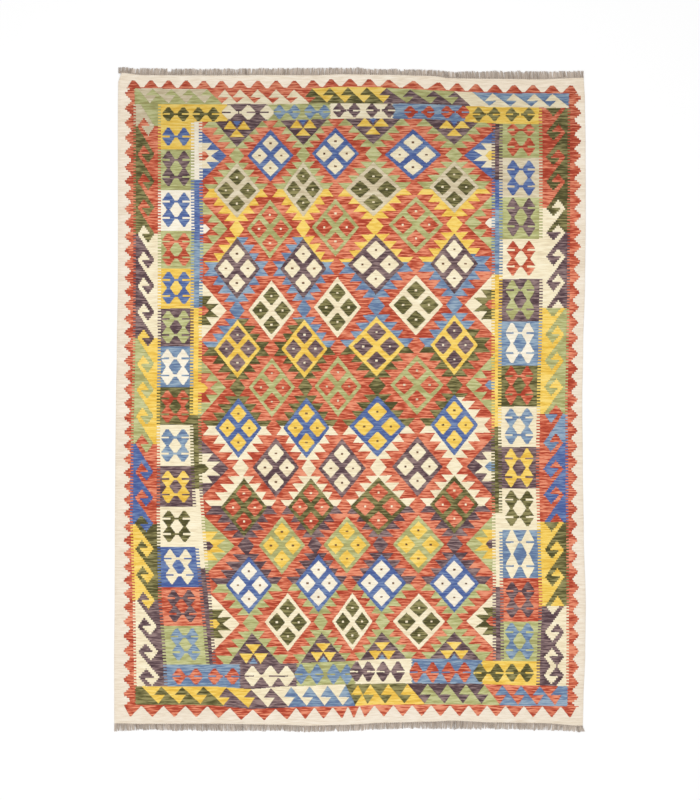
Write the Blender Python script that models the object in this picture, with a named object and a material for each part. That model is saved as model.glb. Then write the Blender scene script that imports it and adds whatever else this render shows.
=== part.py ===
"""A flat-woven wool kilim rug lying flat, with its cut warp ends as a short fringe at both ends.

Metres, +Z up. +Y runs along the warp to the head of the rug, and +X across it to the right. The
origin is on the floor, under the middle of the rug. The cloth and the two fringes lie on the floor.
"""

import bmesh
import bpy
import numpy as np

CLOTH_THICKNESS = 0.0035
FRINGE_THICKNESS = 0.0030
SEAM_GAP = 0.0003

# The two sides, from the foot to the head: how far along the rug, and where its edges run.
SIDE_COLUMNS = ("along", "left", "right")
SIDE_RUN = (
    (-1.430, -1.0308, 1.0203),
    (-1.316, -1.0310, 1.0230),
    (-1.119, -1.0312, 1.0305),
    (-0.900, -1.0290, 1.0330),
    (-0.593, -1.0282, 1.0243),
    (-0.287, -1.0260, 1.0203),
    (-0.024, -1.0238, 1.0173),
    (0.239, -1.0194, 1.0217),
    (0.501, -1.0152, 1.0295),
    (0.808, -1.0150, 1.0330),
    (1.115, -1.0150, 1.0325),
    (1.312, -1.0145, 1.0295),
    (1.417, -1.0128, 1.0243),
)

# The two ends, from left to right: how far across the rug, where the cloth stops, and where the
# fringe's threads stop.
END_COLUMNS = ("across", "foot_cloth", "foot_tips", "head_cloth", "head_tips")
END_RUN = (
    (-1.015, -1.4191, -1.4533, 1.4320, 1.4572),
    (-0.901, -1.4213, -1.4476, 1.4213, 1.4507),
    (-0.612, -1.4213, -1.4520, 1.4204, 1.4485),
    (-0.323, -1.4257, -1.4520, 1.4222, 1.4520),
    (-0.174, -1.4301, -1.4564, 1.4213, 1.4533),
    (-0.034, -1.4266, -1.4542, 1.4257, 1.4529),
    (0.159, -1.4169, -1.4432, 1.4235, 1.4476),
    (0.351, -1.4126, -1.4419, 1.4191, 1.4441),
    (0.448, -1.4082, -1.4432, 1.4082, 1.4367),
    (0.641, -1.4161, -1.4432, 1.4060, 1.4380),
    (0.833, -1.4183, -1.4476, 1.4038, 1.4380),
    (1.026, -1.4301, -1.4564, 1.4104, 1.4397),
)

# Each fringe is a comb: bundles of threads that stand out of a knotted heading.
BUNDLES = 96
BUNDLE_SHARE = 0.90
HEADING_DEPTH = 0.006
RAGGED = 0.0012
SPLAYED_BUNDLES = 5
SPLAY_COLUMNS = ("end", "left", "right")
SPLAY = (
    ("foot", -0.003, 0.010),
    ("head", -0.002, 0.001),
)

SIDE_POINTS = 72
RAGGED_SEED = 7


def column(table, names, name):
    """Returns one named column of a table."""
    return np.array([row[names.index(name)] for row in table], dtype=float)


def eased(x, knots, values):
    """Returns the curve through the knots that levels out at each of them."""
    cell = np.clip(np.searchsorted(knots, x) - 1, 0, len(knots) - 2)
    share = np.clip((x - knots[cell]) / (knots[cell + 1] - knots[cell]), 0.0, 1.0)
    share = share * share * (3.0 - 2.0 * share)
    return values[cell] + (values[cell + 1] - values[cell]) * share


def side_at(y, side):
    """Returns how far out the left or the right edge runs at these places along the rug."""
    along = column(SIDE_RUN, SIDE_COLUMNS, "along")
    return eased(y, along, column(SIDE_RUN, SIDE_COLUMNS, side))


def end_at(x, line):
    """Returns how far along the rug a line of its end lies at these places across it."""
    across = column(END_RUN, END_COLUMNS, "across")
    return eased(x, across, column(END_RUN, END_COLUMNS, line))


def plan_point(u, v):
    """Returns the plan of the cloth: u runs 0 to 1 from left to right and v from foot to head."""
    x = np.zeros_like(u)
    y = np.zeros_like(v)
    for _ in range(6):
        x = side_at(y, "left") * (1.0 - u) + side_at(y, "right") * u
        y = end_at(x, "foot_cloth") * (1.0 - v) + end_at(x, "head_cloth") * v
    return np.stack([x, y], axis=-1)


def bundle_stations():
    """Returns where each bundle of threads starts and stops, as shares of the rug's width."""
    pitch = 1.0 / (BUNDLES - 1 + BUNDLE_SHARE)
    starts = np.arange(BUNDLES) * pitch
    return np.stack([starts, starts + pitch * BUNDLE_SHARE], axis=1)


def cloth_plan():
    """Returns the outline of the cloth, anticlockwise, with the fringe's stations on its ends."""
    across = bundle_stations().ravel()
    up = np.linspace(0.0, 1.0, SIDE_POINTS)[1:-1]
    foot = plan_point(across, np.zeros_like(across))
    right = plan_point(np.ones_like(up), up)
    head = plan_point(across[::-1], np.ones_like(across))
    left = plan_point(np.zeros_like(up), up[::-1])
    return np.concatenate([foot, right, head, left])


def splay_of(end):
    """Returns how far each bundle's tip leans to the right, which grows towards the corners."""
    row = next(row for row in SPLAY if row[SPLAY_COLUMNS.index("end")] == end)
    number = np.arange(BUNDLES)
    near_left = np.clip(1.0 - number / SPLAYED_BUNDLES, 0.0, 1.0) ** 2
    near_right = np.clip(1.0 - (BUNDLES - 1 - number) / SPLAYED_BUNDLES, 0.0, 1.0) ** 2
    left, right = row[SPLAY_COLUMNS.index("left")], row[SPLAY_COLUMNS.index("right")]
    return left * near_left + right * near_right


def fringe_plan(end):
    """Returns a fringe's plan: its points, and its faces as lists of point numbers.

    Three rows of points run across the rug, two to a bundle: where the heading meets the cloth,
    where the bundles leave the heading, and the tips of the bundles.
    """
    out = 1.0 if end == "head" else -1.0
    stations = bundle_stations().ravel()
    seam = plan_point(stations, np.full_like(stations, 0.5 + 0.5 * out))
    seam[:, 1] += out * SEAM_GAP
    heading = seam + np.array([0.0, out * HEADING_DEPTH])
    ragged = np.random.default_rng(RAGGED_SEED).uniform(-RAGGED, RAGGED, BUNDLES)
    tips = heading.copy()
    tips[:, 0] += np.repeat(splay_of(end), 2)
    tips[:, 1] = end_at(heading[:, 0], end + "_tips") + np.repeat(ragged, 2)

    count = len(stations)
    faces = [[i, i + 1, count + i + 1, count + i] for i in range(count - 1)]
    for i in range(0, count, 2):
        faces.append([count + i, count + i + 1, 2 * count + i + 1, 2 * count + i])
    if out < 0.0:
        faces = [face[::-1] for face in faces]
    return np.concatenate([seam, heading, tips]), faces


def plain_material(name, colour, roughness):
    """Returns a plain wool material."""
    material = bpy.data.materials.new(name)
    material.use_nodes = True
    shader = material.node_tree.nodes["Principled BSDF"]
    shader.inputs["Base Color"].default_value = (*colour, 1.0)
    shader.inputs["Roughness"].default_value = roughness
    shader.inputs["Metallic"].default_value = 0.0
    return material


def flat_piece(name, points, faces, thickness, material):
    """Adds a flat piece on the floor: a plan of faces that all turn anticlockwise, raised."""
    plan = bmesh.new()
    corners = [plan.verts.new((x, y, 0.0)) for x, y in points]
    for face in faces:
        plan.faces.new([corners[i] for i in face])
    raised = bmesh.ops.extrude_face_region(plan, geom=plan.faces[:], use_keep_orig=True)
    lifted = [item for item in raised["geom"] if isinstance(item, bmesh.types.BMVert)]
    bmesh.ops.translate(plan, verts=lifted, vec=(0.0, 0.0, thickness))
    bmesh.ops.recalc_face_normals(plan, faces=plan.faces[:])
    mesh = bpy.data.meshes.new(name)
    plan.to_mesh(mesh)
    plan.free()
    mesh.materials.append(material)
    piece = bpy.data.objects.new(name, mesh)
    bpy.context.collection.objects.link(piece)
    return piece


def main():
    """Builds the cloth and its two fringes around the middle of their common box."""
    for old in list(bpy.data.objects):
        bpy.data.objects.remove(old, do_unlink=True)

    cloth = cloth_plan()
    foot, foot_faces = fringe_plan("foot")
    head, head_faces = fringe_plan("head")
    everything = np.concatenate([cloth, foot, head])
    middle = (everything.min(axis=0) + everything.max(axis=0)) / 2.0

    weave = plain_material("kilim_weave", (0.42, 0.20, 0.12), 0.92)
    ends = plain_material("warp_ends", (0.42, 0.36, 0.32), 0.95)
    flat_piece("cloth", cloth - middle, [list(range(len(cloth)))], CLOTH_THICKNESS, weave)
    flat_piece("fringe_foot", foot - middle, foot_faces, FRINGE_THICKNESS, ends)
    flat_piece("fringe_head", head - middle, head_faces, FRINGE_THICKNESS, ends)


main()
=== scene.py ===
"""The kilim rug's looks: its woven cloth, stitch by stitch, and its two fringes of cut warp ends.

The rug's pattern is a weaver's chart, drawn by rules: lines that wander, rows of motifs and short
tables of colours. The cloth carries the chart as numbers on its faces, and its material turns each
number into a dyed wool, with the streaks of its dye and the ribs of the weave.

Metres, +Z up, +Y towards the head of the rug. The chart's squares are counts, numbered across from
the left and down from the head of its paper, and one count is two stitches wide and two high.
"""

import logging
from dataclasses import dataclass, field
from enum import Enum, IntEnum
from typing import Any

import bpy
import numpy as np
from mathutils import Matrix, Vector


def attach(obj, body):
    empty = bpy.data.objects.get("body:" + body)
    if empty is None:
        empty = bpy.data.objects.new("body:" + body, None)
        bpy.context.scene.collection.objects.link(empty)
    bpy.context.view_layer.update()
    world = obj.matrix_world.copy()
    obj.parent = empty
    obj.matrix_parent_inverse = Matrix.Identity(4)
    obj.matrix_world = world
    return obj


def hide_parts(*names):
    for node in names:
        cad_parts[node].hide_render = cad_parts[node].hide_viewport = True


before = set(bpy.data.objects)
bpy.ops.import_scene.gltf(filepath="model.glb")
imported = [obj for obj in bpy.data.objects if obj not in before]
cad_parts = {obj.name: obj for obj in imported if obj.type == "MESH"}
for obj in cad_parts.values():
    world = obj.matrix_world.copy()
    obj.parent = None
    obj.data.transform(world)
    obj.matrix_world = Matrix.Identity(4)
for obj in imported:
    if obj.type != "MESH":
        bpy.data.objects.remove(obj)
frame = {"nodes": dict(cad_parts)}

Array = np.ndarray
Pair = tuple[float, float]
Triple = tuple[float, float, float]
Socket = bpy.types.NodeSocket

log = logging.getLogger("kilim")

COUNT = 0.00438                     # a count, in metres
CHART_MIDDLE = (349.66, 399.47)     # the place on the chart of the frame's origin, in counts
STITCHES_ACROSS, STITCHES_DOWN = 936, 1308
FACE_STITCHES_ACROSS, FACE_STITCHES_DOWN = 6, 6
HALVES = ("upper", "lower")
HALF_ROWS = FACE_STITCHES_DOWN // len(HALVES)
DIGIT_BASE = 16                     # a face's stitches are digits to this base, one for each wool
MILLIMETRES = 1000.0                # in a metre
BAKE_RIM = 0.004                    # the rim of the bake map that the cloth's edge takes
STEP = 2.0                          # the steps of the side borders' slanting edges, in counts
COMB_PITCH = 3.03                   # a tooth and a gap where two colours share warps, in counts
EDGE_COMB = 1.7                     # half such a tooth's length along the upright edges, in counts


class Yarn(IntEnum):
    """The dyed wools, numbered as the chart's stitches hold them."""

    MARGIN = 1
    CREAM = 2
    WHITE = 3
    BEIGE = 4
    YELLOW = 5
    SAGE = 6
    DARK_GREEN = 7
    LIGHT_BLUE = 8
    BLUE = 9
    PURPLE = 10
    RED = 11
    BROWN = 12


(MARGIN, CREAM, WHITE, BEIGE, YELLOW, SAGE, DARK_GREEN, LIGHT_BLUE, BLUE, PURPLE, RED, BROWN) = Yarn


class Side(Enum):
    """The way that a motif or a border faces, as its sign on the chart."""

    LEFT = -1.0
    RIGHT = 1.0


class Line:
    """A line of the weaving that wanders: its place, read against how far along it runs."""

    def __init__(self, *knots: Pair) -> None:
        """Keeps the knots.

        Args:
            knots: pairs of how far along the line and its place there, in counts.
        """
        self.along, self.place = np.array(knots, dtype=float).T

    def at(self, along: Any) -> Array:
        """Returns the line's place there, straight from knot to knot."""
        return np.interp(along, self.along, self.place)


def stepped(distance: Array) -> Array:
    """Returns the distance rounded to the middle of its count, the same both ways from zero."""
    return np.sign(distance) * (np.floor(np.abs(distance)) + 0.5)


def step_middle(along: Array) -> Array:
    """Returns the middle of the side borders' step that each place lies in."""
    return np.floor(along / STEP) * STEP + STEP / 2.0


def comb(along: Array, depth: float) -> Array:
    """Returns the teeth where two colours share warps: plus and minus the depth, turn by turn."""
    return np.where(np.floor(2.0 * along / COMB_PITCH) % 2.0 == 0.0, depth, -depth)


class Chart:
    """The chart that the rug is woven from: a yarn for every stitch."""

    def __init__(self, across: Array, down: Array, yarn: Array) -> None:
        """Keeps the stitches.

        Args:
            across: each stitch's place across the chart, in counts.
            down: each stitch's place down the chart, in counts.
            yarn: each stitch's yarn, which weaving changes.
        """
        self.x, self.y, self.yarn = across, down, yarn

    def window(self, x: float, y: float, half_x: float, half_y: float) -> "Chart":
        """Cuts out the part of the chart around a place.

        Args:
            x: the place across.
            y: the place down.
            half_x: how far the part reaches to both sides, and a count more.
            half_y: how far it reaches up and down, and a count more.

        Returns:
            The part, which shares this chart's stitches.
        """
        inside = (np.abs(self.x - x) <= half_x + 1.0) & (np.abs(self.y - y) <= half_y + 1.0)
        rows = np.flatnonzero(inside.any(axis=1))
        columns = np.flatnonzero(inside.any(axis=0))
        if len(rows) == 0 or len(columns) == 0:
            rows = columns = np.array([0, -1])
        cut = (slice(rows[0], rows[-1] + 1), slice(columns[0], columns[-1] + 1))
        return Chart(self.x[cut], self.y[cut], self.yarn[cut])

    def weave(self, where: Array, yarn: Any) -> None:
        """Weaves the marked stitches in a yarn, or in each stitch's own yarn of an array."""
        self.yarn[where] = yarn[where] if isinstance(yarn, Array) else int(yarn)

    def diamond(self, middle: Pair, half: Pair, yarn: Yarn, blunt: float = 0.2) -> None:
        """Weaves a diamond: the stitches where |dx| / half_x + |dy| / half_y is under 1.

        Args:
            middle: its place across and down.
            half: half its width and half its height.
            yarn: the yarn.
            blunt: how much wider than that it is in every row, in counts.
        """
        (x, y), (half_x, half_y) = middle, half
        part = self.window(x, y, half_x, half_y)
        up = np.abs(stepped(part.y - y))
        wide = np.minimum(half_x * (1.0 - up / half_y) + blunt, half_x)
        part.weave((np.abs(part.x - x) < wide) & (up < half_y), yarn)

    def block(self, x: float, y: float, half_x: float, half_y: float, yarn: Yarn) -> None:
        """Weaves a plain block around a place."""
        part = self.window(x, y, half_x, half_y)
        part.weave((np.abs(part.x - x) < half_x) & (np.abs(part.y - y) < half_y), yarn)

    def wedge(self, apex: Pair, base: float, left: float, right: float, yarn: Yarn) -> None:
        """Weaves a triangle whose base is a row and whose sides are stepped.

        At a share of the way from the apex to the base, the triangle reaches that share of the way
        from the apex to the base's two ends.

        Args:
            apex: the apex's place across and down.
            base: how far down the base lies.
            left: where the base starts.
            right: where the base ends.
            yarn: the yarn.
        """
        tip_x, tip_y = apex
        middle, height = (left + right) / 2.0, np.abs(base - tip_y)
        part = self.window(middle, (tip_y + base) / 2.0,
                           (right - left) / 2.0 + np.abs(tip_x - middle), height / 2.0)
        rise = (part.y - tip_y) * np.sign(base - tip_y)
        share = stepped(rise) / height
        inside = (rise > 0.0) & (rise < height)
        inside &= part.x > tip_x + (left - tip_x) * share
        inside &= part.x < tip_x + (right - tip_x) * share
        part.weave(inside, yarn)


def sections(where: Array, ends: tuple[float, ...], yarns: tuple[Yarn, ...]) -> Array:
    """Returns each stitch's yarn along a run of sections, from where all but the last one end."""
    return np.array([int(yarn) for yarn in yarns])[np.searchsorted(np.array(ends), where)]


LEFT_SAW = Line((90, 134.8), (330, 134.5), (430, 132.5), (520, 131.5), (600, 134.0), (690, 135.5))
LEFT_GUARD = Line((105, 159.5), (330, 159.5), (430, 158.5), (520, 158.5), (600, 160.0), (640, 163.5),
                  (685, 166.0))
LEFT_BOX = Line((122, 192.5), (230, 193.0), (330, 192.0), (420, 191.5), (465, 192.5), (505, 194.5),
                (547, 197.0), (585, 200.5), (625, 204.5), (664, 208.0))
LEFT_FIELD = Line((122, 200.5), (250, 201.8), (330, 200.3), (415, 199.8), (489, 201.0), (530, 204.0),
                  (568, 207.0), (600, 210.0), (664, 214.5))
RIGHT_FIELD = Line((124, 493.5), (427, 493.0), (513, 493.5), (587, 494.3), (661, 494.5))
RIGHT_BOX = Line((124, 501.0), (274, 501.0), (330, 500.0), (427, 499.5), (489, 500.5), (587, 501.5),
                 (661, 502.5))
RIGHT_GUARD = Line((108, 540.5), (300, 541.0), (400, 538.5), (470, 537.5), (520, 538.5),
                   (600, 540.5), (661, 538.5), (685, 538.0))
RIGHT_SAW = Line((94, 569.0), (300, 568.3), (400, 566.3), (470, 566.8), (600, 567.8), (685, 567.5))

HEAD_SAW = Line((133, 88.5), (212, 89.0), (300, 89.0), (340, 87.0), (380, 87.5), (426, 90.0),
                (467, 92.0), (505, 93.3), (570, 93.5))
HEAD_GUARD = Line((135, 104.5), (228, 104.5), (240, 103.7), (270, 104.5), (330, 103.5),
                  (400, 103.7), (440, 104.7), (465, 106.0), (500, 107.3), (565, 108.0))
HEAD_ROW = Line((160, 122.0), (228, 121.5), (262, 121.0), (320, 119.3), (373, 118.3), (430, 119.2),
                (455, 121.0), (480, 122.7), (500, 123.8), (540, 124.3))
FOOT_ROW = Line((165, 664.3), (250, 664.3), (300, 663.0), (350, 661.0), (380, 659.0), (440, 658.5),
                (480, 660.0), (500, 661.0), (537, 661.0))
FOOT_GUARD = Line((135, 686.0), (215, 686.3), (250, 689.0), (262, 688.3), (280, 686.5), (300, 686.0),
                  (350, 684.0), (400, 683.2), (470, 683.5), (500, 684.5), (560, 686.0))
FOOT_SAW = Line((135, 704.5), (210, 705.0), (250, 708.8), (275, 708.0), (300, 706.7), (345, 706.3),
                (370, 704.6), (410, 704.2), (470, 704.4), (520, 705.7), (567, 706.0))


def between(chart: Chart, lines: tuple[Line, Line, Line, Line], depth: float) -> Array:
    """Finds the stitches inside a frame of four lines.

    Args:
        chart: the chart.
        lines: the lines at the left, the right, the head and the foot.
        depth: half the length of the teeth on the left and the right line, in counts.

    Returns:
        True at each stitch inside.
    """
    left, right, head, foot = lines
    tooth = comb(chart.y, depth)
    return ((chart.x > left.at(chart.y) + tooth) & (chart.x <= right.at(chart.y) + tooth)
            & (chart.y > head.at(chart.x)) & (chart.y <= foot.at(chart.x)))


@dataclass(frozen=True)
class ToothedEdge:
    """One edge of the sawtooth: teeth that stand out of a line of valleys.

    The tips lie along the edge, read against their numbers, and the valleys' line is read along
    the edge. The depths are how far the tips stand out at both ends of the edge, and blunt is half
    the flat at each tip and in each valley.
    """

    tips: Line
    valleys: Line
    number: int
    depths: Pair
    blunt: float = 0.6
    past: float = 6.0

    def line(self) -> Line:
        """Draws the edge straight from each tip to the valley midway to the next tip.

        Returns:
            The edge's place, read along it.
        """
        places = self.tips.at(np.arange(self.number))
        tops = [(place, depth) for place, depth in zip(places, np.linspace(*self.depths, self.number))]
        bottoms = [(place, 0.0) for place in (places[1:] + places[:-1]) / 2.0]
        knots = [(place + side, self.valleys.at(place) + depth) for place, depth in tops + bottoms
                 for side in (-self.blunt, self.blunt)]
        knots += [(end, self.valleys.at(end)) for end in (places[0] - self.past,
                                                          places[-1] + self.past)]
        return Line(*sorted(knots))


LEFT_TEETH = ToothedEdge(
    Line((-1, 81.0), (0, 93.5), (5, 167.5), (11, 250.5), (17, 332.5), (24, 432.0), (30, 513.5),
         (37, 607.0), (43, 694.0), (44, 706.5)),
    Line((90, 131.5), (380, 130.7), (707, 130.0)), 45, (-6.2, -6.4))
RIGHT_TEETH = ToothedEdge(
    Line((0, 98.0), (5, 170.5), (12, 277.0), (19, 384.0), (26, 493.0), (33, 603.0), (38, 683.0),
         (39, 697.5), (40, 708.5)),
    Line((106, 574.5), (240, 574.5), (280, 573.5), (315, 572.0), (375, 571.3), (560, 571.3),
         (590, 573.0), (660, 573.0), (708, 572.3)), 41, (6.6, 5.6))
HEAD_TEETH = ToothedEdge(
    Line((0, 133.5), (5, 221.5), (11, 331.0), (14, 388.5), (16, 438.5), (18, 476.0), (23, 571.0)),
    Line((133, 87.5), (212, 88.0), (300, 88.0), (340, 86.0), (380, 86.5), (426, 89.0), (467, 91.0),
         (505, 92.3), (571, 92.5)), 24, (-7.0, -7.0), blunt=1.5)
FOOT_TEETH = ToothedEdge(
    Line((0, 130.5), (4, 218.5), (7, 287.0), (10, 342.0), (11, 354.0), (12, 365.0), (17, 459.5),
         (23, 570.0)),
    Line((130, 706.0), (210, 706.5), (250, 710.0), (275, 709.3), (300, 708.2), (345, 707.6),
         (370, 706.0), (410, 705.5), (470, 705.7), (570, 707.2)), 24, (10.3, 10.0))


@dataclass(frozen=True)
class Sawtooth:
    """The red teeth that stand on the cream margin all round, and the red line they stand on."""

    head_reach: float = 8.0
    foot_reach: float = 11.0

    def weave(self, chart: Chart) -> None:
        """Weaves the red ground inside the four toothed edges, with a whole tooth at each corner."""
        rows = step_middle(chart.y)
        left, right = LEFT_TEETH.line().at(rows), RIGHT_TEETH.line().at(rows)
        head, foot = HEAD_TEETH.line().at(chart.x), FOOT_TEETH.line().at(chart.x)
        corner = (chart.y < HEAD_SAW.at(chart.x)) | (chart.y > FOOT_SAW.at(chart.x))
        reach = np.where(chart.y < CHART_MIDDLE[1], self.head_reach, self.foot_reach)
        left = np.where(corner, LEFT_SAW.at(chart.y) - reach, left)
        right = np.where(corner, RIGHT_SAW.at(chart.y) + reach, right)
        inside = (chart.x > left) & (chart.x < right) & (chart.y > head) & (chart.y < foot)
        chart.weave(inside, RED)


@dataclass(frozen=True)
class SideGuard:
    """A running-hook band down one side, between the sawtooth and the boxes.

    Each repeat is a slanting step between the outer wool and the inner wool. Across the band, w
    runs from 0 at its outer line to 1 at its inner line. Along a repeat, f runs from 0 to 1. The
    slant lies at w = slant[0] + slant[1] f, and a triangle of the other wool hooks in at each end
    of it. A hook holds its apex's w, and how far it reaches to both sides at the slant's end.
    """

    outer: Line
    inner: Line
    repeats: Line
    outer_runs: tuple[tuple[int, Yarn], ...]
    inner_runs: tuple[tuple[int, Yarn], ...]
    early: tuple[int, ...]
    late: tuple[int, ...]
    first_late: float
    triangle: float = 0.33
    slant: Pair = (0.12, 0.69)
    early_hook: Triple = (0.37, 0.25, 0.26)
    late_hook: Triple = (0.548, 0.263, 0.252)
    rim_comb: float = 1.3
    under_boxes: float = 1.15

    def hooked(self, w: Array, rise: Array, hook: Triple) -> Array:
        """Returns True inside a hook's triangle, which widens as the rise goes from 0 to 1."""
        apex, before, after = hook
        return (rise > 0.0) & (w > apex - before * rise) & (w < apex + after * rise)

    def colours(self, runs: tuple[tuple[int, Yarn], ...]) -> Array:
        """Returns the yarn of each repeat from the runs of repeats of one colour."""
        return np.concatenate([[int(yarn)] * count for count, yarn in runs])

    def weave(self, chart: Chart) -> None:
        """Weaves the band over its whole height, and a little under the boxes beside it."""
        rows = step_middle(chart.y)
        width = self.inner.at(rows) - self.outer.at(rows)
        w = (chart.x - self.outer.at(rows)) / width
        inside = (w > comb(chart.y, self.rim_comb) / width) & (w < self.under_boxes)
        inside &= (chart.y > HEAD_GUARD.at(chart.x)) & (chart.y <= FOOT_GUARD.at(chart.x))
        phase = self.repeats.at(rows)
        outer, inner = self.colours(self.outer_runs), self.colours(self.inner_runs)
        repeat = np.clip(np.floor(phase).astype(int), 0, len(outer) - 1)
        f = phase - np.floor(phase)
        yarn = np.where(w > self.slant[0] + self.slant[1] * f, inner[repeat], outer[repeat])

        after = np.isin(repeat + 1, self.early)
        hook = inner[np.clip(repeat + after, 0, len(inner) - 1)]
        rise = (f - (1.0 - self.triangle)) / self.triangle
        yarn = np.where(self.hooked(w, rise, self.early_hook), hook, yarn)

        before = np.isin(repeat, self.late)
        hook = outer[np.clip(repeat - before, 0, len(outer) - 1)]
        rise = 1.0 - f / self.triangle
        late = self.hooked(w, rise, self.late_hook) & (phase >= self.first_late)
        chart.weave(inside, np.where(late, hook, yarn))


LEFT_HOOKS = SideGuard(
    outer=LEFT_SAW, inner=LEFT_GUARD,
    repeats=Line((99.0, 0), (126.5, 1), (154.5, 2), (181.5, 3), (234, 5), (312, 8), (390, 11),
                 (416, 12), (443.5, 13), (472, 14), (549, 17), (626.3, 20), (702.7, 23)),
    outer_runs=((1, BEIGE), (4, DARK_GREEN), (4, PURPLE), (4, SAGE),
                (3, BLUE), (3, YELLOW), (5, CREAM)),
    inner_runs=((1, SAGE), (4, RED), (4, CREAM), (4, YELLOW), (3, RED),
                (3, DARK_GREEN), (5, PURPLE)),
    early=(1, 5, 9, 13, 16, 19), late=(1, 5, 9, 13, 16, 19), first_late=1.0)

RIGHT_HOOKS = SideGuard(
    outer=RIGHT_SAW, inner=RIGHT_GUARD,
    repeats=Line((108.5, 0), (132.5, 1), (182, 3), (208.5, 4), (257, 6), (334.5, 9), (413.5, 12),
                 (443, 13), (495, 15), (522.5, 16), (577, 18), (605.5, 19), (632.3, 20),
                 (644.8, 20.46), (656.5, 20.01), (666, 19.67), (675.5, 20.0), (686, 20.4)),
    outer_runs=((5, DARK_GREEN), (3, PURPLE), (4, SAGE), (1, LIGHT_BLUE),
                (3, BLUE), (3, DARK_GREEN), (3, CREAM)),
    inner_runs=((4, RED), (4, CREAM), (4, YELLOW), (4, RED), (3, YELLOW), (3, PURPLE)),
    early=(4, 12), late=(13,), first_late=0.0)


@dataclass(frozen=True)
class HangingRun:
    """A stretch of an end's running-hook band: its wools, its hooks' middle line and their tips."""

    upper: Yarn
    lower: Yarn
    middle: float
    tips: tuple[float, ...]


@dataclass(frozen=True)
class EndGuard:
    """A running-hook band across one end: hooks of the upper wool hang into the lower wool.

    A hook is a slanting neck that narrows from the band's upper line to its middle, and a
    triangle with its apex down from there to the band's lower line. At the upper line each neck
    ends, and the next one begins, a little past the tip. The lower wool changes at the first hook
    of a stretch.
    """

    top: Line
    bottom: Line
    runs: tuple[HangingRun, ...]
    start: float
    past: float = 2.4
    neck: float = 4.3
    head: float = 6.7
    rim: float = 1.0
    rim_comb: float = 0.4

    def weave(self, chart: Chart) -> None:
        """Weaves each stretch's lower wool from its first hook on, and its hooks over it."""
        inside = between(chart, (LEFT_SAW, RIGHT_SAW, self.top, self.bottom), self.rim_comb)
        reach = self.past + self.rim
        top, bottom = self.top.at(chart.x), self.bottom.at(chart.x)
        down = np.clip((chart.y - top) / (bottom - self.rim - top), 0.0, 1.0)
        chart.weave(inside, self.runs[0].lower)
        start = self.start
        for run in self.runs:
            chart.weave(inside & (chart.x > start + (run.tips[0] - start) * down), run.lower)
            neck = (chart.y - top) / (run.middle - top)
            head = (chart.y - run.middle) / (bottom - self.rim - run.middle)
            for tip in run.tips:
                left = start + (tip - start) * down
                right = tip + np.where(neck < 1.0, reach - (reach + self.neck) * neck,
                                       self.head * (1.0 - head))
                hook = (chart.x > left) & (chart.x < right) & (head < 1.0)
                chart.weave(inside & hook, run.upper)
                start = tip + self.past


HEAD_HOOKS = EndGuard(HEAD_SAW, HEAD_GUARD, (
    HangingRun(BEIGE, SAGE, 95.5, (150.0, 168.8, 186.5, 204.7)),
    HangingRun(RED, CREAM, 97.5, (222.0, 237.0, 254.5, 273.0, 291.0)),
    HangingRun(RED, DARK_GREEN, 97.5, (309.0,)),
    HangingRun(YELLOW, DARK_GREEN, 95.3, (327.0, 345.0, 364.0)),
    HangingRun(YELLOW, PURPLE, 95.3, (383.5,)),
    HangingRun(SAGE, PURPLE, 97.0, (407.0, 430.5, 452.0)),
    HangingRun(CREAM, CREAM, 101.2, (470.0,)),
    HangingRun(LIGHT_BLUE, CREAM, 100.9, (489.5, 510.3, 531.3, 549.5)),
    HangingRun(LIGHT_BLUE, LIGHT_BLUE, 100.9, (569.0,))), 138.0)

FOOT_HOOKS = EndGuard(FOOT_GUARD, FOOT_SAW, (
    HangingRun(YELLOW, DARK_GREEN, 694.7, (158.5, 179.3, 200.5)),
    HangingRun(YELLOW, PURPLE, 697.3, (223.3, 248.3)),
    HangingRun(CREAM, PURPLE, 697.7, (268.0,)),
    HangingRun(CREAM, LIGHT_BLUE, 697.0, (288.3, 306.6, 324.7, 342.8)),
    HangingRun(DARK_GREEN, YELLOW, 694.7, (355.3, 367.5, 385.2, 404.5)),
    HangingRun(PURPLE, SAGE, 694.3, (424.5, 444.5, 463.0, 481.5)),
    HangingRun(RED, LIGHT_BLUE, 695.0, (499.5, 518.0, 537.0, 555.0)),
    HangingRun(LIGHT_BLUE, LIGHT_BLUE, 695.0, (574.0,))), 141.5)


@dataclass(frozen=True)
class Patch:
    """A coloured stretch of a patch row: where it ends, its wools, and its diamonds' places."""

    end: float
    ground: Yarn
    figure: Yarn
    down: float
    half_down: float
    across: tuple[float, ...]


@dataclass(frozen=True)
class PatchRow:
    """The row of coloured patches across one end, each with pairs of split diamonds."""

    head: Line
    foot: Line
    half_across: float
    patches: tuple[Patch, ...]
    slot: float = 0.7
    wider_of_three: float = 1.5
    ground_comb: float = 0.5

    def weave(self, chart: Chart) -> None:
        """Weaves the grounds, and then each patch's diamonds in pairs."""
        inside = between(chart, (LEFT_GUARD, RIGHT_GUARD, self.head, self.foot), EDGE_COMB)
        grounds = sections(chart.x - comb(chart.y, self.ground_comb),
                           tuple(patch.end for patch in self.patches[:-1]),
                           tuple(patch.ground for patch in self.patches))
        chart.weave(inside, grounds)
        for patch in self.patches:
            wide = self.half_across + (self.wider_of_three if len(patch.across) == 3 else 0.0)
            for number, x in enumerate(patch.across):
                side = Side.LEFT if number % 2 == 0 else Side.RIGHT
                split_diamond(chart, (x, patch.down), (wide, patch.half_down), side, patch,
                              self.slot)


SPLIT_BLUNT = 1.0       # how much wider a split diamond is in every row, in counts
BRIDGE = (1.8, 1.1)     # half the width and half the height of the bridge at its inner corner
SLOT_PAST = 1.6         # how far its slot runs past its middle


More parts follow.
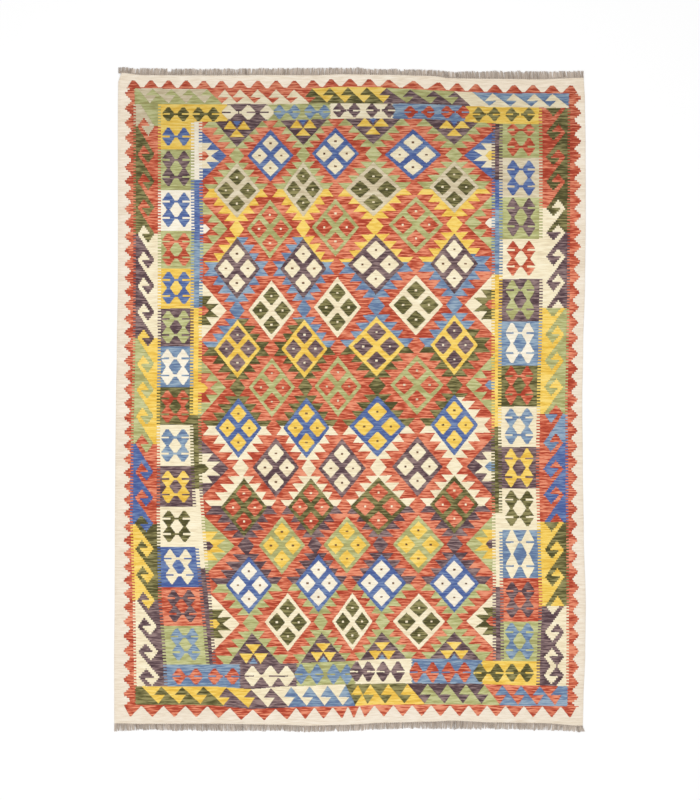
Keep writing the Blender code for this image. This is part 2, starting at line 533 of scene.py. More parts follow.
def split_diamond(chart: Chart, middle: Pair, half: Pair, side: Side,
                  wools: Any, slot: float) -> None:
    """Weaves a diamond with a slot from its outer corner, and a bridge at its inner corner.

    Args:
        chart: the chart.
        middle: the diamond's middle.
        half: half its width and half its height.
        side: the side that its outer corner points to.
        wools: what holds the ground's and the figure's yarn.
        slot: half the slot's height.
    """
    (x, y), (half_x, _) = middle, half
    chart.diamond(middle, half, wools.figure, SPLIT_BLUNT)
    chart.block(x - side.value * half_x, y, *BRIDGE, wools.figure)
    chart.block(x + side.value * (half_x - SLOT_PAST) / 2.0, y, (half_x + SLOT_PAST) / 2.0, slot,
                wools.ground)


HEAD_PATCHES = PatchRow(HEAD_GUARD, HEAD_ROW, 5.9, (
    Patch(228.0, YELLOW, DARK_GREEN, 114.2, 7.1, (168.5, 183.5, 198.5, 213.5)),
    Patch(268.0, PURPLE, CREAM, 112.5, 7.3, (229.0, 248.5, 267.0)),
    Patch(330.0, SAGE, LIGHT_BLUE, 112.0, 6.8, (279.5, 294.5, 310.0, 324.5)),
    Patch(393.0, CREAM, PURPLE, 110.5, 6.9, (339.0, 354.5, 372.0, 389.5)),
    Patch(465.0, LIGHT_BLUE, RED, 112.2, 6.4, (410.0, 429.0, 447.0, 463.5)),
    Patch(545.0, YELLOW, DARK_GREEN, 114.5, 6.7, (478.5, 494.5, 511.5, 529.0))))

FOOT_PATCHES = PatchRow(FOOT_ROW, FOOT_GUARD, 6.5, (
    Patch(240.0, LIGHT_BLUE, RED, 676.3, 8.3, (179.0, 196.0, 214.5, 233.0)),
    Patch(297.0, PURPLE, CREAM, 676.0, 10.3, (252.5, 270.5, 286.5)),
    Patch(355.0, SAGE, LIGHT_BLUE, 674.2, 9.6, (301.0, 317.0, 333.5, 347.0)),
    Patch(412.0, CREAM, PURPLE, 671.5, 10.2, (356.5, 368.5, 383.0, 398.0)),
    Patch(482.0, LIGHT_BLUE, RED, 672.2, 10.0, (416.0, 432.5, 448.5, 464.5)),
    Patch(545.0, YELLOW, DARK_GREEN, 672.8, 9.2, (480.0, 497.0, 512.0, 527.0))))


@dataclass(frozen=True)
class Box:
    """A box of a side border: where it ends, its wools, and its rows of diamonds."""

    end: float
    ground: Yarn
    figure: Yarn
    rows: tuple[float, ...]


@dataclass(frozen=True)
class BoxColumn:
    """The column of boxes down one side, each with one or two rows of paired, split diamonds."""

    lines: tuple[Line, Line]
    outer: Line
    pitch: float
    boxes: tuple[Box, ...]
    half_across: float = 6.1
    slot: float = 0.9
    overlap: float = 0.4
    half_alone: float = 9.3

    def weave(self, chart: Chart) -> None:
        """Weaves the boxes' grounds, and then their diamonds."""
        inside = between(chart, (*self.lines, HEAD_ROW, FOOT_ROW), EDGE_COMB)
        grounds = sections(chart.y, tuple(box.end for box in self.boxes[:-1]),
                           tuple(box.ground for box in self.boxes))
        chart.weave(inside, grounds)
        start = HEAD_ROW.at(self.outer.place[0])
        for box in self.boxes:
            half_down = (np.ptp(box.rows) / 2.0 + self.overlap if len(box.rows) > 1
                         else self.half_alone)
            for y in box.rows:
                half = min(half_down, box.end - y, y - start)
                x = float(self.outer.at(y))
                for side, shift in ((Side.LEFT, 0.0), (Side.RIGHT, self.pitch)):
                    split_diamond(chart, (x + shift, y), (self.half_across, half), side, box,
                                  self.slot)
            start = box.end


LEFT_BOXES = BoxColumn((LEFT_GUARD, LEFT_BOX), Line(
    (110, 168.5), (305, 168.5), (335, 168.0), (350, 167.5), (460, 167.5), (490, 168.0),
    (526, 169.0), (558, 170.0), (575, 172.0), (598, 173.5), (614, 175.0), (636, 176.8),
    (652, 178.5)), 15.6, (
    Box(149.5, YELLOW, BLUE, (136.6,)),
    Box(190.0, SAGE, PURPLE, (160.0, 177.0)),
    Box(231.0, WHITE, BLUE, (201.5, 218.0)),
    Box(268.5, SAGE, RED, (241.5, 257.5)),
    Box(308.5, YELLOW, BLUE, (280.0, 296.0)),
    Box(346.5, PURPLE, SAGE, (319.0, 335.0)),
    Box(387.0, LIGHT_BLUE, WHITE, (358.5, 375.5)),
    Box(425.0, DARK_GREEN, RED, (398.5, 414.5)),
    Box(466.0, CREAM, LIGHT_BLUE, (437.5, 453.5)),
    Box(506.5, PURPLE, YELLOW, (479.0, 494.5)),
    Box(547.0, CREAM, DARK_GREEN, (518.5, 534.0)),
    Box(587.0, BLUE, CREAM, (558.5, 575.0)),
    Box(626.0, RED, PURPLE, (598.0, 614.0)),
    Box(666.0, SAGE, LIGHT_BLUE, (636.5, 652.0))))

RIGHT_BOXES = BoxColumn((RIGHT_BOX, RIGHT_GUARD), Line(
    (130, 513.0), (260, 513.0), (300, 512.0), (350, 512.0), (380, 511.0), (480, 511.0),
    (510, 511.5), (560, 512.0), (600, 512.0), (640, 511.5)), 16.0, (
    Box(158.0, SAGE, RED, (130.0, 147.0)),
    Box(197.5, BEIGE, BLUE, (169.5, 186.5)),
    Box(239.0, SAGE, PURPLE, (208.0, 226.5)),
    Box(279.0, CREAM, RED, (250.0, 266.5)),
    Box(321.5, PURPLE, SAGE, (290.0, 309.5)),
    Box(365.5, LIGHT_BLUE, WHITE, (333.0, 353.0)),
    Box(406.5, DARK_GREEN, RED, (376.0, 394.5)),
    Box(447.0, CREAM, LIGHT_BLUE, (417.5, 435.0)),
    Box(488.5, PURPLE, YELLOW, (458.5, 477.0)),
    Box(530.0, CREAM, DARK_GREEN, (499.5, 517.0)),
    Box(578.0, LIGHT_BLUE, CREAM, (542.0, 566.0)),
    Box(621.5, RED, PURPLE, (591.0, 608.5)),
    Box(663.0, SAGE, LIGHT_BLUE, (632.0, 650.0))))


@dataclass(frozen=True)
class Strip:
    """The narrow plain strip between the boxes and the field, in stretches of one wool."""

    lines: tuple[Line, Line]
    ends: tuple[float, ...]
    yarns: tuple[Yarn, ...]

    def weave(self, chart: Chart) -> None:
        """Weaves the strip's stretches."""
        inside = between(chart, (*self.lines, HEAD_ROW, FOOT_ROW), EDGE_COMB)
        chart.weave(inside, sections(chart.y, self.ends, self.yarns))


LEFT_STRIP = Strip((LEFT_BOX, LEFT_FIELD), (180.0, 240.0, 308.0, 415.0, 489.0, 568.0), (
    WHITE, BLUE, LIGHT_BLUE, YELLOW, DARK_GREEN, CREAM, PURPLE))
RIGHT_STRIP = Strip((RIGHT_FIELD, RIGHT_BOX), (180.0, 210.0, 274.5, 427.0, 513.0, 587.0), (
    PURPLE, BLUE, LIGHT_BLUE, YELLOW, DARK_GREEN, CREAM, PURPLE))


PLAIN_ROW_KNOTS = (237.0, 303.0, 373.0, 454.0)
EDGE_ROW_KNOTS = (202.0, 270.0, 335.0, 413.0, 493.0)


@dataclass(frozen=True)
class LatticeRow:
    """A row of the field's diamonds: its heights at the knots, and its diamonds' wools.

    A row that reaches the field's edges also has the wools of its left and its right heart.
    """

    heights: tuple[float, ...]
    frame: Yarn = PURPLE
    inner: Yarn = CREAM
    dot: Yarn = BROWN
    hearts: tuple[Yarn, ...] = ()

    def line(self) -> Line:
        """Returns the row's line across the field."""
        knots = PLAIN_ROW_KNOTS if len(self.heights) == len(PLAIN_ROW_KNOTS) else EDGE_ROW_KNOTS
        return Line(*zip(knots, self.heights))


LATTICE = (
    LatticeRow((121.5, 120.5, 118.5, 121.0)),
    LatticeRow((156.0, 155.7, 153.8, 154.8, 155.5), BLUE, CREAM, BROWN, (RED, YELLOW)),
    LatticeRow((190.5, 189.5, 189.3, 187.0), BEIGE, DARK_GREEN, CREAM),
    LatticeRow((229.0, 229.0, 227.5, 225.0, 223.0), SAGE, RED, CREAM, (WHITE, WHITE)),
    LatticeRow((268.5, 268.5, 264.5, 263.8), PURPLE, CREAM, BROWN),
    LatticeRow((310.5, 310.5, 307.5, 305.0, 304.5), CREAM, DARK_GREEN, CREAM, (RED, RED)),
    LatticeRow((348.8, 348.8, 346.5, 345.0), YELLOW, PURPLE, CREAM),
    LatticeRow((388.0, 387.5, 386.5, 385.0, 385.0), SAGE, RED, BEIGE, (YELLOW, LIGHT_BLUE)),
    LatticeRow((428.0, 428.0, 426.5, 425.0), BLUE, YELLOW, BROWN),
    LatticeRow((468.5, 467.5, 468.5, 466.5, 466.5), PURPLE, CREAM, BROWN, (DARK_GREEN, LIGHT_BLUE)),
    LatticeRow((507.5, 507.0, 506.5, 504.5), DARK_GREEN, RED, CREAM),
    LatticeRow((546.0, 545.5, 545.0, 544.5, 544.0), SAGE, YELLOW, BROWN, (PURPLE, PURPLE)),
    LatticeRow((585.5, 583.3, 583.0, 583.5), BLUE, WHITE, BROWN),
    LatticeRow((624.0, 622.5, 621.5, 621.5, 621.0), CREAM, DARK_GREEN, CREAM, (YELLOW, RED)),
    LatticeRow((663.0, 661.5, 659.0, 658.5)))

AXES = (
    LEFT_FIELD,
    Line((121, 237.0), (270, 237.0), (348, 237.5), (428, 238.5), (507, 244.0), (585, 249.0),
         (663, 253.5)),
    Line((156, 270.5), (230, 270.0), (310, 271.5), (388, 272.0), (468, 276.0), (546, 282.0),
         (624, 288.0), (662, 291.5)),
    Line((120, 303.3), (268, 303.3), (348, 304.5), (428, 306.5), (507, 311.0), (583, 318.5),
         (662, 323.5)),
    Line((154, 335.5), (228, 335.5), (308, 337.5), (387, 338.0), (468, 342.0), (545, 347.0),
         (622, 352.5)),
    Line((118, 373.0), (190, 373.5), (267, 376.0), (348, 376.5), (427, 377.5), (506, 378.5),
         (583, 381.5), (659, 382.0)),
    Line((155, 413.0), (225, 416.0), (305, 416.0), (387, 417.0), (467, 417.5), (545, 418.5),
         (622, 419.0)),
    Line((120, 454.3), (660, 454.3)),
    RIGHT_FIELD)

HALF_WIDTHS = (
    Line((156, 26.0), (387, 26.0), (468, 28.0), (546, 29.5), (624, 28.0)),
    Line((190, 23.0), (585, 23.0)),
    Line((156, 23.0), (624, 23.0)),
    Line((190, 20.0), (268, 23.0), (583, 23.0)),
    Line((154, 23.5), (545, 23.5), (622, 20.0)),
    Line((190, 28.0), (506, 28.0), (583, 24.7)),
    Line((155, 28.0), (387, 26.6), (467, 25.0), (622, 26.0)),
    Line((187, 24.7), (264, 23.6), (425, 23.6), (583, 24.7)),
    Line((156, 29.3), (310, 28.3), (468, 26.5), (546, 28.0), (621, 28.0)))


@dataclass(frozen=True)
class Ground:
    """The field's ground: red, and a second wool that changes down the rug, in serrated edges.

    Between a row of plain diamonds and the next row, t runs from 0 to 1, and s runs from 0 on a
    plain diamond's axis to 1 on its neighbour's. The second wool fills the plain diamonds' side.
    A row of tooth_rows holds the t where a tooth starts, and s at its start and at its end.
    """

    tooth_rows: tuple[Triple, ...] = (
        (0.00, 0.77, 0.94), (0.185, 0.52, 0.67), (0.39, 0.35, 0.54), (0.60, 0.18, 0.355),
        (0.79, 0.04, 0.22))
    yarns: tuple[Yarn, ...] = (SAGE, YELLOW, LIGHT_BLUE, DARK_GREEN, CREAM, PURPLE, SAGE)
    ends: tuple[float, ...] = (189.0, 262.0, 347.0, 426.0, 506.0, 584.0)
    ends_near_second_axis: tuple[float, ...] = (189.0, 237.0, 319.0, 426.0, 506.0, 584.0)
    ends_at_right_edge: tuple[float, ...] = (189.0, 254.0, 329.0, 397.0, 506.0, 584.0)

    def edge(self, t: Array) -> Array:
        """Returns s at the serrated edge: in each tooth it runs straight from start to end."""
        starts, low, high = np.array(self.tooth_rows).T
        tooth = np.clip(np.searchsorted(starts, t, side="right") - 1, 0, len(starts) - 1)
        lengths = np.diff(np.append(starts, 1.0))
        return low[tooth] + (high - low)[tooth] * (t - starts[tooth]) / lengths[tooth]

    def second(self, chart: Chart) -> Array:
        """Returns the second wool of each stitch."""
        yarn = sections(chart.y, self.ends, self.yarns)
        near = (chart.x > AXES[1].at(chart.y)) & (chart.x < AXES[3].at(chart.y))
        yarn = np.where(near, sections(chart.y, self.ends_near_second_axis, self.yarns), yarn)
        right = chart.x > AXES[7].at(chart.y)
        return np.where(right, sections(chart.y, self.ends_at_right_edge, self.yarns), yarn)

    def weave(self, chart: Chart) -> None:
        """Weaves the whole field in red, and then the second wool where s is under the edge."""
        inside = between(chart, (LEFT_FIELD, RIGHT_FIELD, HEAD_ROW, FOOT_ROW), EDGE_COMB)
        chart.weave(inside, RED)
        heights = np.stack([row.line().at(chart.x) for row in LATTICE])
        below = np.clip((heights <= chart.y).sum(axis=0) - 1, 0, len(LATTICE) - 2)
        upper = np.take_along_axis(heights, below[None], axis=0)[0]
        lower = np.take_along_axis(heights, below[None] + 1, axis=0)[0]
        axes = np.stack([axis.at(chart.y) for axis in AXES])
        before = np.clip((axes <= chart.x).sum(axis=0) - 1, 0, len(AXES) - 2)
        start = np.take_along_axis(axes, before[None], axis=0)[0]
        end = np.take_along_axis(axes, before[None] + 1, axis=0)[0]

        t = np.clip((chart.y - upper) / (lower - upper), 0.0, 1.0)
        t = np.where(below % 2 == 0, t, 1.0 - t)
        s = np.clip((chart.x - start) / (end - start), 0.0, 1.0)
        s = np.where(before % 2 == 1, s, 1.0 - s)
        chart.weave(inside & (s < self.edge(t)), self.second(chart))


@dataclass(frozen=True)
class Diamonds:
    """The field's diamonds on their lattice, with the half diamonds along both edges.

    The inner diamonds' places and sizes, the flames' teeth and the flames' height are shares of a
    diamond's half width and half height. A row of flame_teeth is as one of the ground's. The dots,
    the hearts and the spare width that a window is given are in counts.
    """

    height_share: float = 0.745
    inner_out: Pair = (0.477, 0.483)
    inner_half: Pair = (0.345, 0.31)
    inner_blunt: float = 0.4
    dot_half: Pair = (1.1, 0.9)
    flame_teeth: tuple[Triple, ...] = ((0.0, 0.39, 0.70), (0.26, 0.22, 0.43))
    flame_end: float = 0.56
    flame_height: float = 0.88
    heart_reach: float = 8.4
    heart_slope: float = 0.95
    heart_half: float = 4.6
    spare: float = 3.0

    def half_height(self, number: int, x: float) -> float:
        """Returns half a diamond's height: a share of the spacing of the rows on both sides."""
        spacing = LATTICE[number + 1].line().at(x) - LATTICE[number - 1].line().at(x)
        return self.height_share * float(spacing) / 2.0

    def weave(self, chart: Chart) -> None:
        """Weaves each row's diamonds, and the half diamonds of the rows that reach the edges."""
        for number, row in enumerate(LATTICE[1:-1], start=1):
            first = 1 if number % 2 == 0 else 2
            for axis in range(first, len(AXES) - 1, 2):
                x = float(AXES[axis].at(row.line().at(AXES[axis].place[0])))
                y = float(row.line().at(x))
                half = (float(HALF_WIDTHS[axis].at(y)), self.half_height(number, x))
                self.full(chart, (x, y), half, row)
            for side, heart in zip((Side.RIGHT, Side.LEFT), row.hearts):
                self.flame(chart, number, side, heart)

    def full(self, chart: Chart, middle: Pair, half: Pair, row: LatticeRow) -> None:
        """Weaves a whole diamond with four small ones inside it, each with a dot in its middle.

        Args:
            chart: the chart.
            middle: the diamond's middle.
            half: half its width and half its height.
            row: its row, which holds its wools.
        """
        (x, y), (half_x, half_y) = middle, half
        chart.diamond(middle, half, row.frame)
        for across, down in ((0, -1), (-1, 0), (1, 0), (0, 1)):
            inner_x = x + across * self.inner_out[0] * half_x
            inner_y = y + down * self.inner_out[1] * half_y
            inner_half = (self.inner_half[0] * half_x, self.inner_half[1] * half_y)
            chart.diamond((inner_x, inner_y), inner_half, row.inner, self.inner_blunt)
            chart.block(inner_x, inner_y, *self.dot_half, row.dot)

    def flame(self, chart: Chart, number: int, side: Side, heart: Yarn) -> None:
        """Weaves a half diamond at an edge of the field, with its serrated flame and its heart.

        Args:
            chart: the chart.
            number: its row's number.
            side: the side that it points to.
            heart: the heart's wool.
        """
        row = LATTICE[number]
        edge, axis = (0, LEFT_FIELD) if side is Side.RIGHT else (-1, RIGHT_FIELD)
        x = float(axis.at(row.heights[edge]))
        y = float(row.line().at(x))
        half_x, half_y = float(HALF_WIDTHS[edge].at(y)), self.half_height(number, x)
        part = chart.window(x, y, half_x + self.spare, half_y)
        out = (part.x - axis.at(part.y) - comb(part.y, EDGE_COMB)) * side.value
        along, up = (part.x - x) * side.value, np.abs(part.y - y)
        part.weave((out > 0.0) & (along < half_x * (1.0 - up / half_y)), row.frame)
        v = up / (self.flame_height * half_y)
        ends = [start for start, _, _ in self.flame_teeth[1:]] + [self.flame_end]
        for (start, low, high), end in zip(self.flame_teeth, ends):
            reach = (low + (high - low) * (v - start) / (end - start)) * half_x
            part.weave((v >= start) & (v < end) & (out > 0.0) & (along < reach), row.inner)
        reach = self.heart_reach - self.heart_slope * up
        part.weave((up < self.heart_half) & (out > 0.0) & (along < reach), heart)


@dataclass(frozen=True)
class EndTriangle:
    """A purple triangle at an end of the field, with a lozenge of small yellow and blue ones.

    Its base lies on the first or the last row of the lattice. The pair of yellow triangles and the
    lozenge's point are set by shares of the triangle's depth and half width, the rest in counts.
    """

    axis: int
    left: float
    right: float
    apex: float
    past_base: float = 3.0
    pair_out: float = 0.29
    pair_depth: float = 0.31
    point_depth: float = 0.62
    point_half: float = 7.7
    blue_depth: float = 5.0
    blue_half: float = 4.5

    def weave(self, chart: Chart, side: Side) -> None:
        """Weaves the triangle at the head, or at the foot, its parts at set depths from its base.

        Args:
            chart: the chart.
            side: LEFT for the head, whose triangle points down, and RIGHT for the foot.
        """
        row = LATTICE[0] if side is Side.LEFT else LATTICE[-1]
        base = float(row.line().at(AXES[self.axis].at(self.apex)))
        inward = -side.value
        x, tip_x = float(AXES[self.axis].at(base)), float(AXES[self.axis].at(self.apex))
        deep, wide = np.abs(self.apex - base), (self.right - self.left) / 2.0
        past = 1.0 + self.past_base / deep
        chart.wedge((tip_x, self.apex), base - inward * self.past_base,
                    tip_x + (self.left - tip_x) * past, tip_x + (self.right - tip_x) * past, PURPLE)
        depth = base + inward * self.pair_depth * deep
        for way in (-1.0, 1.0):
            ends = sorted((x, x + way * 2.0 * self.pair_out * wide))
            chart.wedge((x + way * self.pair_out * wide, base - inward), depth, *ends, YELLOW)
        blue = BLUE if side is Side.LEFT else LIGHT_BLUE
        chart.wedge((x, base + inward * self.blue_depth), base - inward, x - self.blue_half,
                    x + self.blue_half, blue)
        chart.wedge((x, depth), base + inward * self.point_depth * deep, x - self.point_half,
                    x + self.point_half, YELLOW)


HEAD_TRIANGLES = (EndTriangle(1, 215.0, 262.0, 147.0), EndTriangle(3, 280.5, 326.5, 145.0),
                  EndTriangle(5, 345.0, 401.0, 144.5), EndTriangle(7, 426.5, 479.5, 145.0))
FOOT_TRIANGLES = (EndTriangle(1, 230.0, 279.5, 633.0), EndTriangle(3, 302.0, 346.0, 632.5),
                  EndTriangle(5, 361.0, 407.0, 632.0), EndTriangle(7, 430.0, 479.0, 632.0))


def weave_chart(across: Array, down: Array) -> Chart:
    """Weaves the whole chart: the field first, kept while the margin and the borders are woven.

    Args:
        across: each stitch's place across the chart, in counts.
        down: each stitch's place down the chart, in counts.

    Returns:
        The chart.
    """
    chart = Chart(across, down, np.full(across.shape, int(MARGIN), dtype=np.int64))
    Ground().weave(chart)
    Diamonds().weave(chart)
    for triangles, side in ((HEAD_TRIANGLES, Side.LEFT), (FOOT_TRIANGLES, Side.RIGHT)):
        for triangle in triangles:
            triangle.weave(chart, side)
    field_yarn = chart.yarn.copy()
    chart.yarn[:] = int(MARGIN)
    for part in (Sawtooth(), LEFT_HOOKS, RIGHT_HOOKS, HEAD_HOOKS, FOOT_HOOKS, HEAD_PATCHES,
                 FOOT_PATCHES, LEFT_BOXES, RIGHT_BOXES, LEFT_STRIP, RIGHT_STRIP):
        part.weave(chart)
    inside = between(chart, (LEFT_FIELD, RIGHT_FIELD, HEAD_ROW, FOOT_ROW), EDGE_COMB)
    chart.weave(inside, field_yarn)
    return chart


def to_chart(x: Array, y: Array) -> tuple[Array, Array]:
    """Returns places in the rug's frame, in metres, as counts across and down the chart."""
    return CHART_MIDDLE[0] + x / COUNT, CHART_MIDDLE[1] - y / COUNT


def plan_of(node: bpy.types.Object) -> Array:
    """Returns the vertices of a node of the frame seen from above, in metres, each place once."""
    points = np.empty(len(node.data.vertices) * 3)
    node.data.vertices.foreach_get("co", points)
    return np.unique(points.reshape(-1, 3)[:, :2].round(6), axis=0)


@dataclass(frozen=True)
class Outline:
    """The rug's plan, read from the frame's cloth: its two sides and its two ends."""

    left: Line
    right: Line
    foot: Line
    head: Line

    @classmethod
    def of_node(cls, node: bpy.types.Object, end_depth: float = 0.03) -> "Outline":
        """Reads the outline of the flat node, whose vertices all lie on its rim.

        Args:
            node: the frame's cloth.
            end_depth: how far in from the corners a vertex still belongs to an end, in metres.

        Returns:
            The outline.
        """
        plan = plan_of(node)
        corners = [max(plan, key=lambda p, a=a, b=b: a * p[0] + b * p[1])
                   for a, b in ((-1, -1), (1, -1), (-1, 1), (1, 1))]
        inner = min(abs(corner[1]) for corner in corners) - end_depth
        sides = plan[np.abs(plan[:, 1]) < inner]
        ends = plan[np.abs(plan[:, 1]) >= inner]

        def run(points: Array, along: int, *tips: Array) -> Line:
            """Returns the line through the points and the corners, sorted along one axis."""
            knots = np.unique(np.vstack([points, *tips]), axis=0)
            knots = knots[np.argsort(knots[:, along])]
            return Line(*zip(knots[:, along], knots[:, 1 - along]))

        return cls(left=run(sides[sides[:, 0] < 0], 1, corners[0], corners[2]),
                   right=run(sides[sides[:, 0] > 0], 1, corners[1], corners[3]),
                   foot=run(ends[ends[:, 1] < 0], 0), head=run(ends[ends[:, 1] > 0], 0))

    def place(self, u: Array, v: Array, rounds: int = 6) -> tuple[Array, Array]:
        """Finds the plan's point at shares of the way across and up.

        A point lies u of the way between the sides at its own height, and v of the way between the
        ends at its own place across, which a few rounds settle.

        Args:
            u: 0 at the left side to 1 at the right side.
            v: 0 at the foot to 1 at the head.
            rounds: how many rounds there are.

        Returns:
            The point's x and y, in metres.
        """
        x, y = np.zeros_like(u + v), np.zeros_like(u + v)
        for _ in range(rounds):
            x = self.left.at(y) * (1.0 - u) + self.right.at(y) * u
            y = self.foot.at(x) * (1.0 - v) + self.head.at(x) * v
        return x, y


@dataclass(frozen=True)
class Waviness:
    """The slight unevenness of a rug that lies on a floor.

    The swell and the edges' lift are in metres. A row of waves holds how fast a wave turns across
    and along, in radians a metre, where it starts, and its share. The ripple along the sides turns
    at its own pace, which wanders by so many radians at another pace, and the two sides are apart.
    """

    swell: float = 0.0011
    edge_lift: float = 0.0012
    waves: tuple[tuple[float, float, float, float], ...] = (
        (2.1, 1.3, 0.4, 1.0), (1.2, -2.7, 1.9, 1.0), (5.3, 0.8, 2.2, 0.6), (0.9, 6.1, 0.0, 0.5))
    ripple_pace: float = 7.0
    ripple_wander: Pair = (1.5, 2.3)
    ripple_apart: float = 2.0

    def lift(self, x: Array, y: Array, u: Array) -> Array:
        """Works out how far each point of the rug lies off the floor.

        Args:
            x: the points' places across, in metres.
            y: the points' places along, in metres.
            u: 0 at the rug's left side to 1 at its right side.

        Returns:
            The lift, in metres.
        """
        total = sum(share for _, _, _, share in self.waves)
        wave = sum(share * np.sin(across * x + along * y + start)
                   for across, along, start, share in self.waves) / total
        size, pace = self.ripple_wander
        ripple = np.sin(self.ripple_pace * y + size * np.sin(pace * y)
                        + self.ripple_apart * np.sign(x))
        edge = np.abs(2.0 * u - 1.0)
        return self.swell * (wave + 1.0) / 2.0 + self.edge_lift * edge ** 3 * (0.5 + 0.5 * ripple)


def new_mesh(name: str, points: Array, faces: Array) -> bpy.types.Object:
    """Makes a smooth object of four-sided faces, at the origin.

    Args:
        name: the piece's name.
        points: the vertices, one a row, in metres.
        faces: the vertex numbers of each face, one face a row.

    Returns:
        The object.
    """
    mesh = bpy.data.meshes.new(name)
    mesh.vertices.add(len(points))
    mesh.vertices.foreach_set("co", points.astype(np.float32).ravel())
    mesh.loops.add(faces.size)
    mesh.loops.foreach_set("vertex_index", faces.astype(np.int32).ravel())
    mesh.polygons.add(len(faces))
    mesh.polygons.foreach_set("loop_start", np.arange(0, faces.size, 4, dtype=np.int32))
    mesh.polygons.foreach_set("use_smooth", np.ones(len(faces), dtype=bool))
    mesh.update(calc_edges=True)
    mesh.validate()
    piece = bpy.data.objects.new(name, mesh)
    bpy.context.scene.collection.objects.link(piece)
    return piece


def corner_map(piece: bpy.types.Object, name: str, u: Array, v: Array) -> None:
    """Adds a UV map from a value of u and v at each corner of each face."""
    layer = piece.data.uv_layers.new(name=name)
    layer.uv.foreach_set("vector", np.stack([u, v], axis=-1).astype(np.float32).ravel())


def carry(piece: bpy.types.Object, name: str, kind: str, domain: str, values: Array) -> None:
    """Gives a piece an attribute.

    Args:
        piece: the piece.
        name: the attribute's name.
        kind: FLOAT for numbers, or FLOAT_VECTOR for rows of three numbers.
        domain: FACE or POINT, for what holds a value each.
        values: the values.
    """
    layer = piece.data.attributes.new(name, kind, domain)
    layer.data.foreach_set("value" if kind == "FLOAT" else "vector", values.astype(np.float32).ravel())


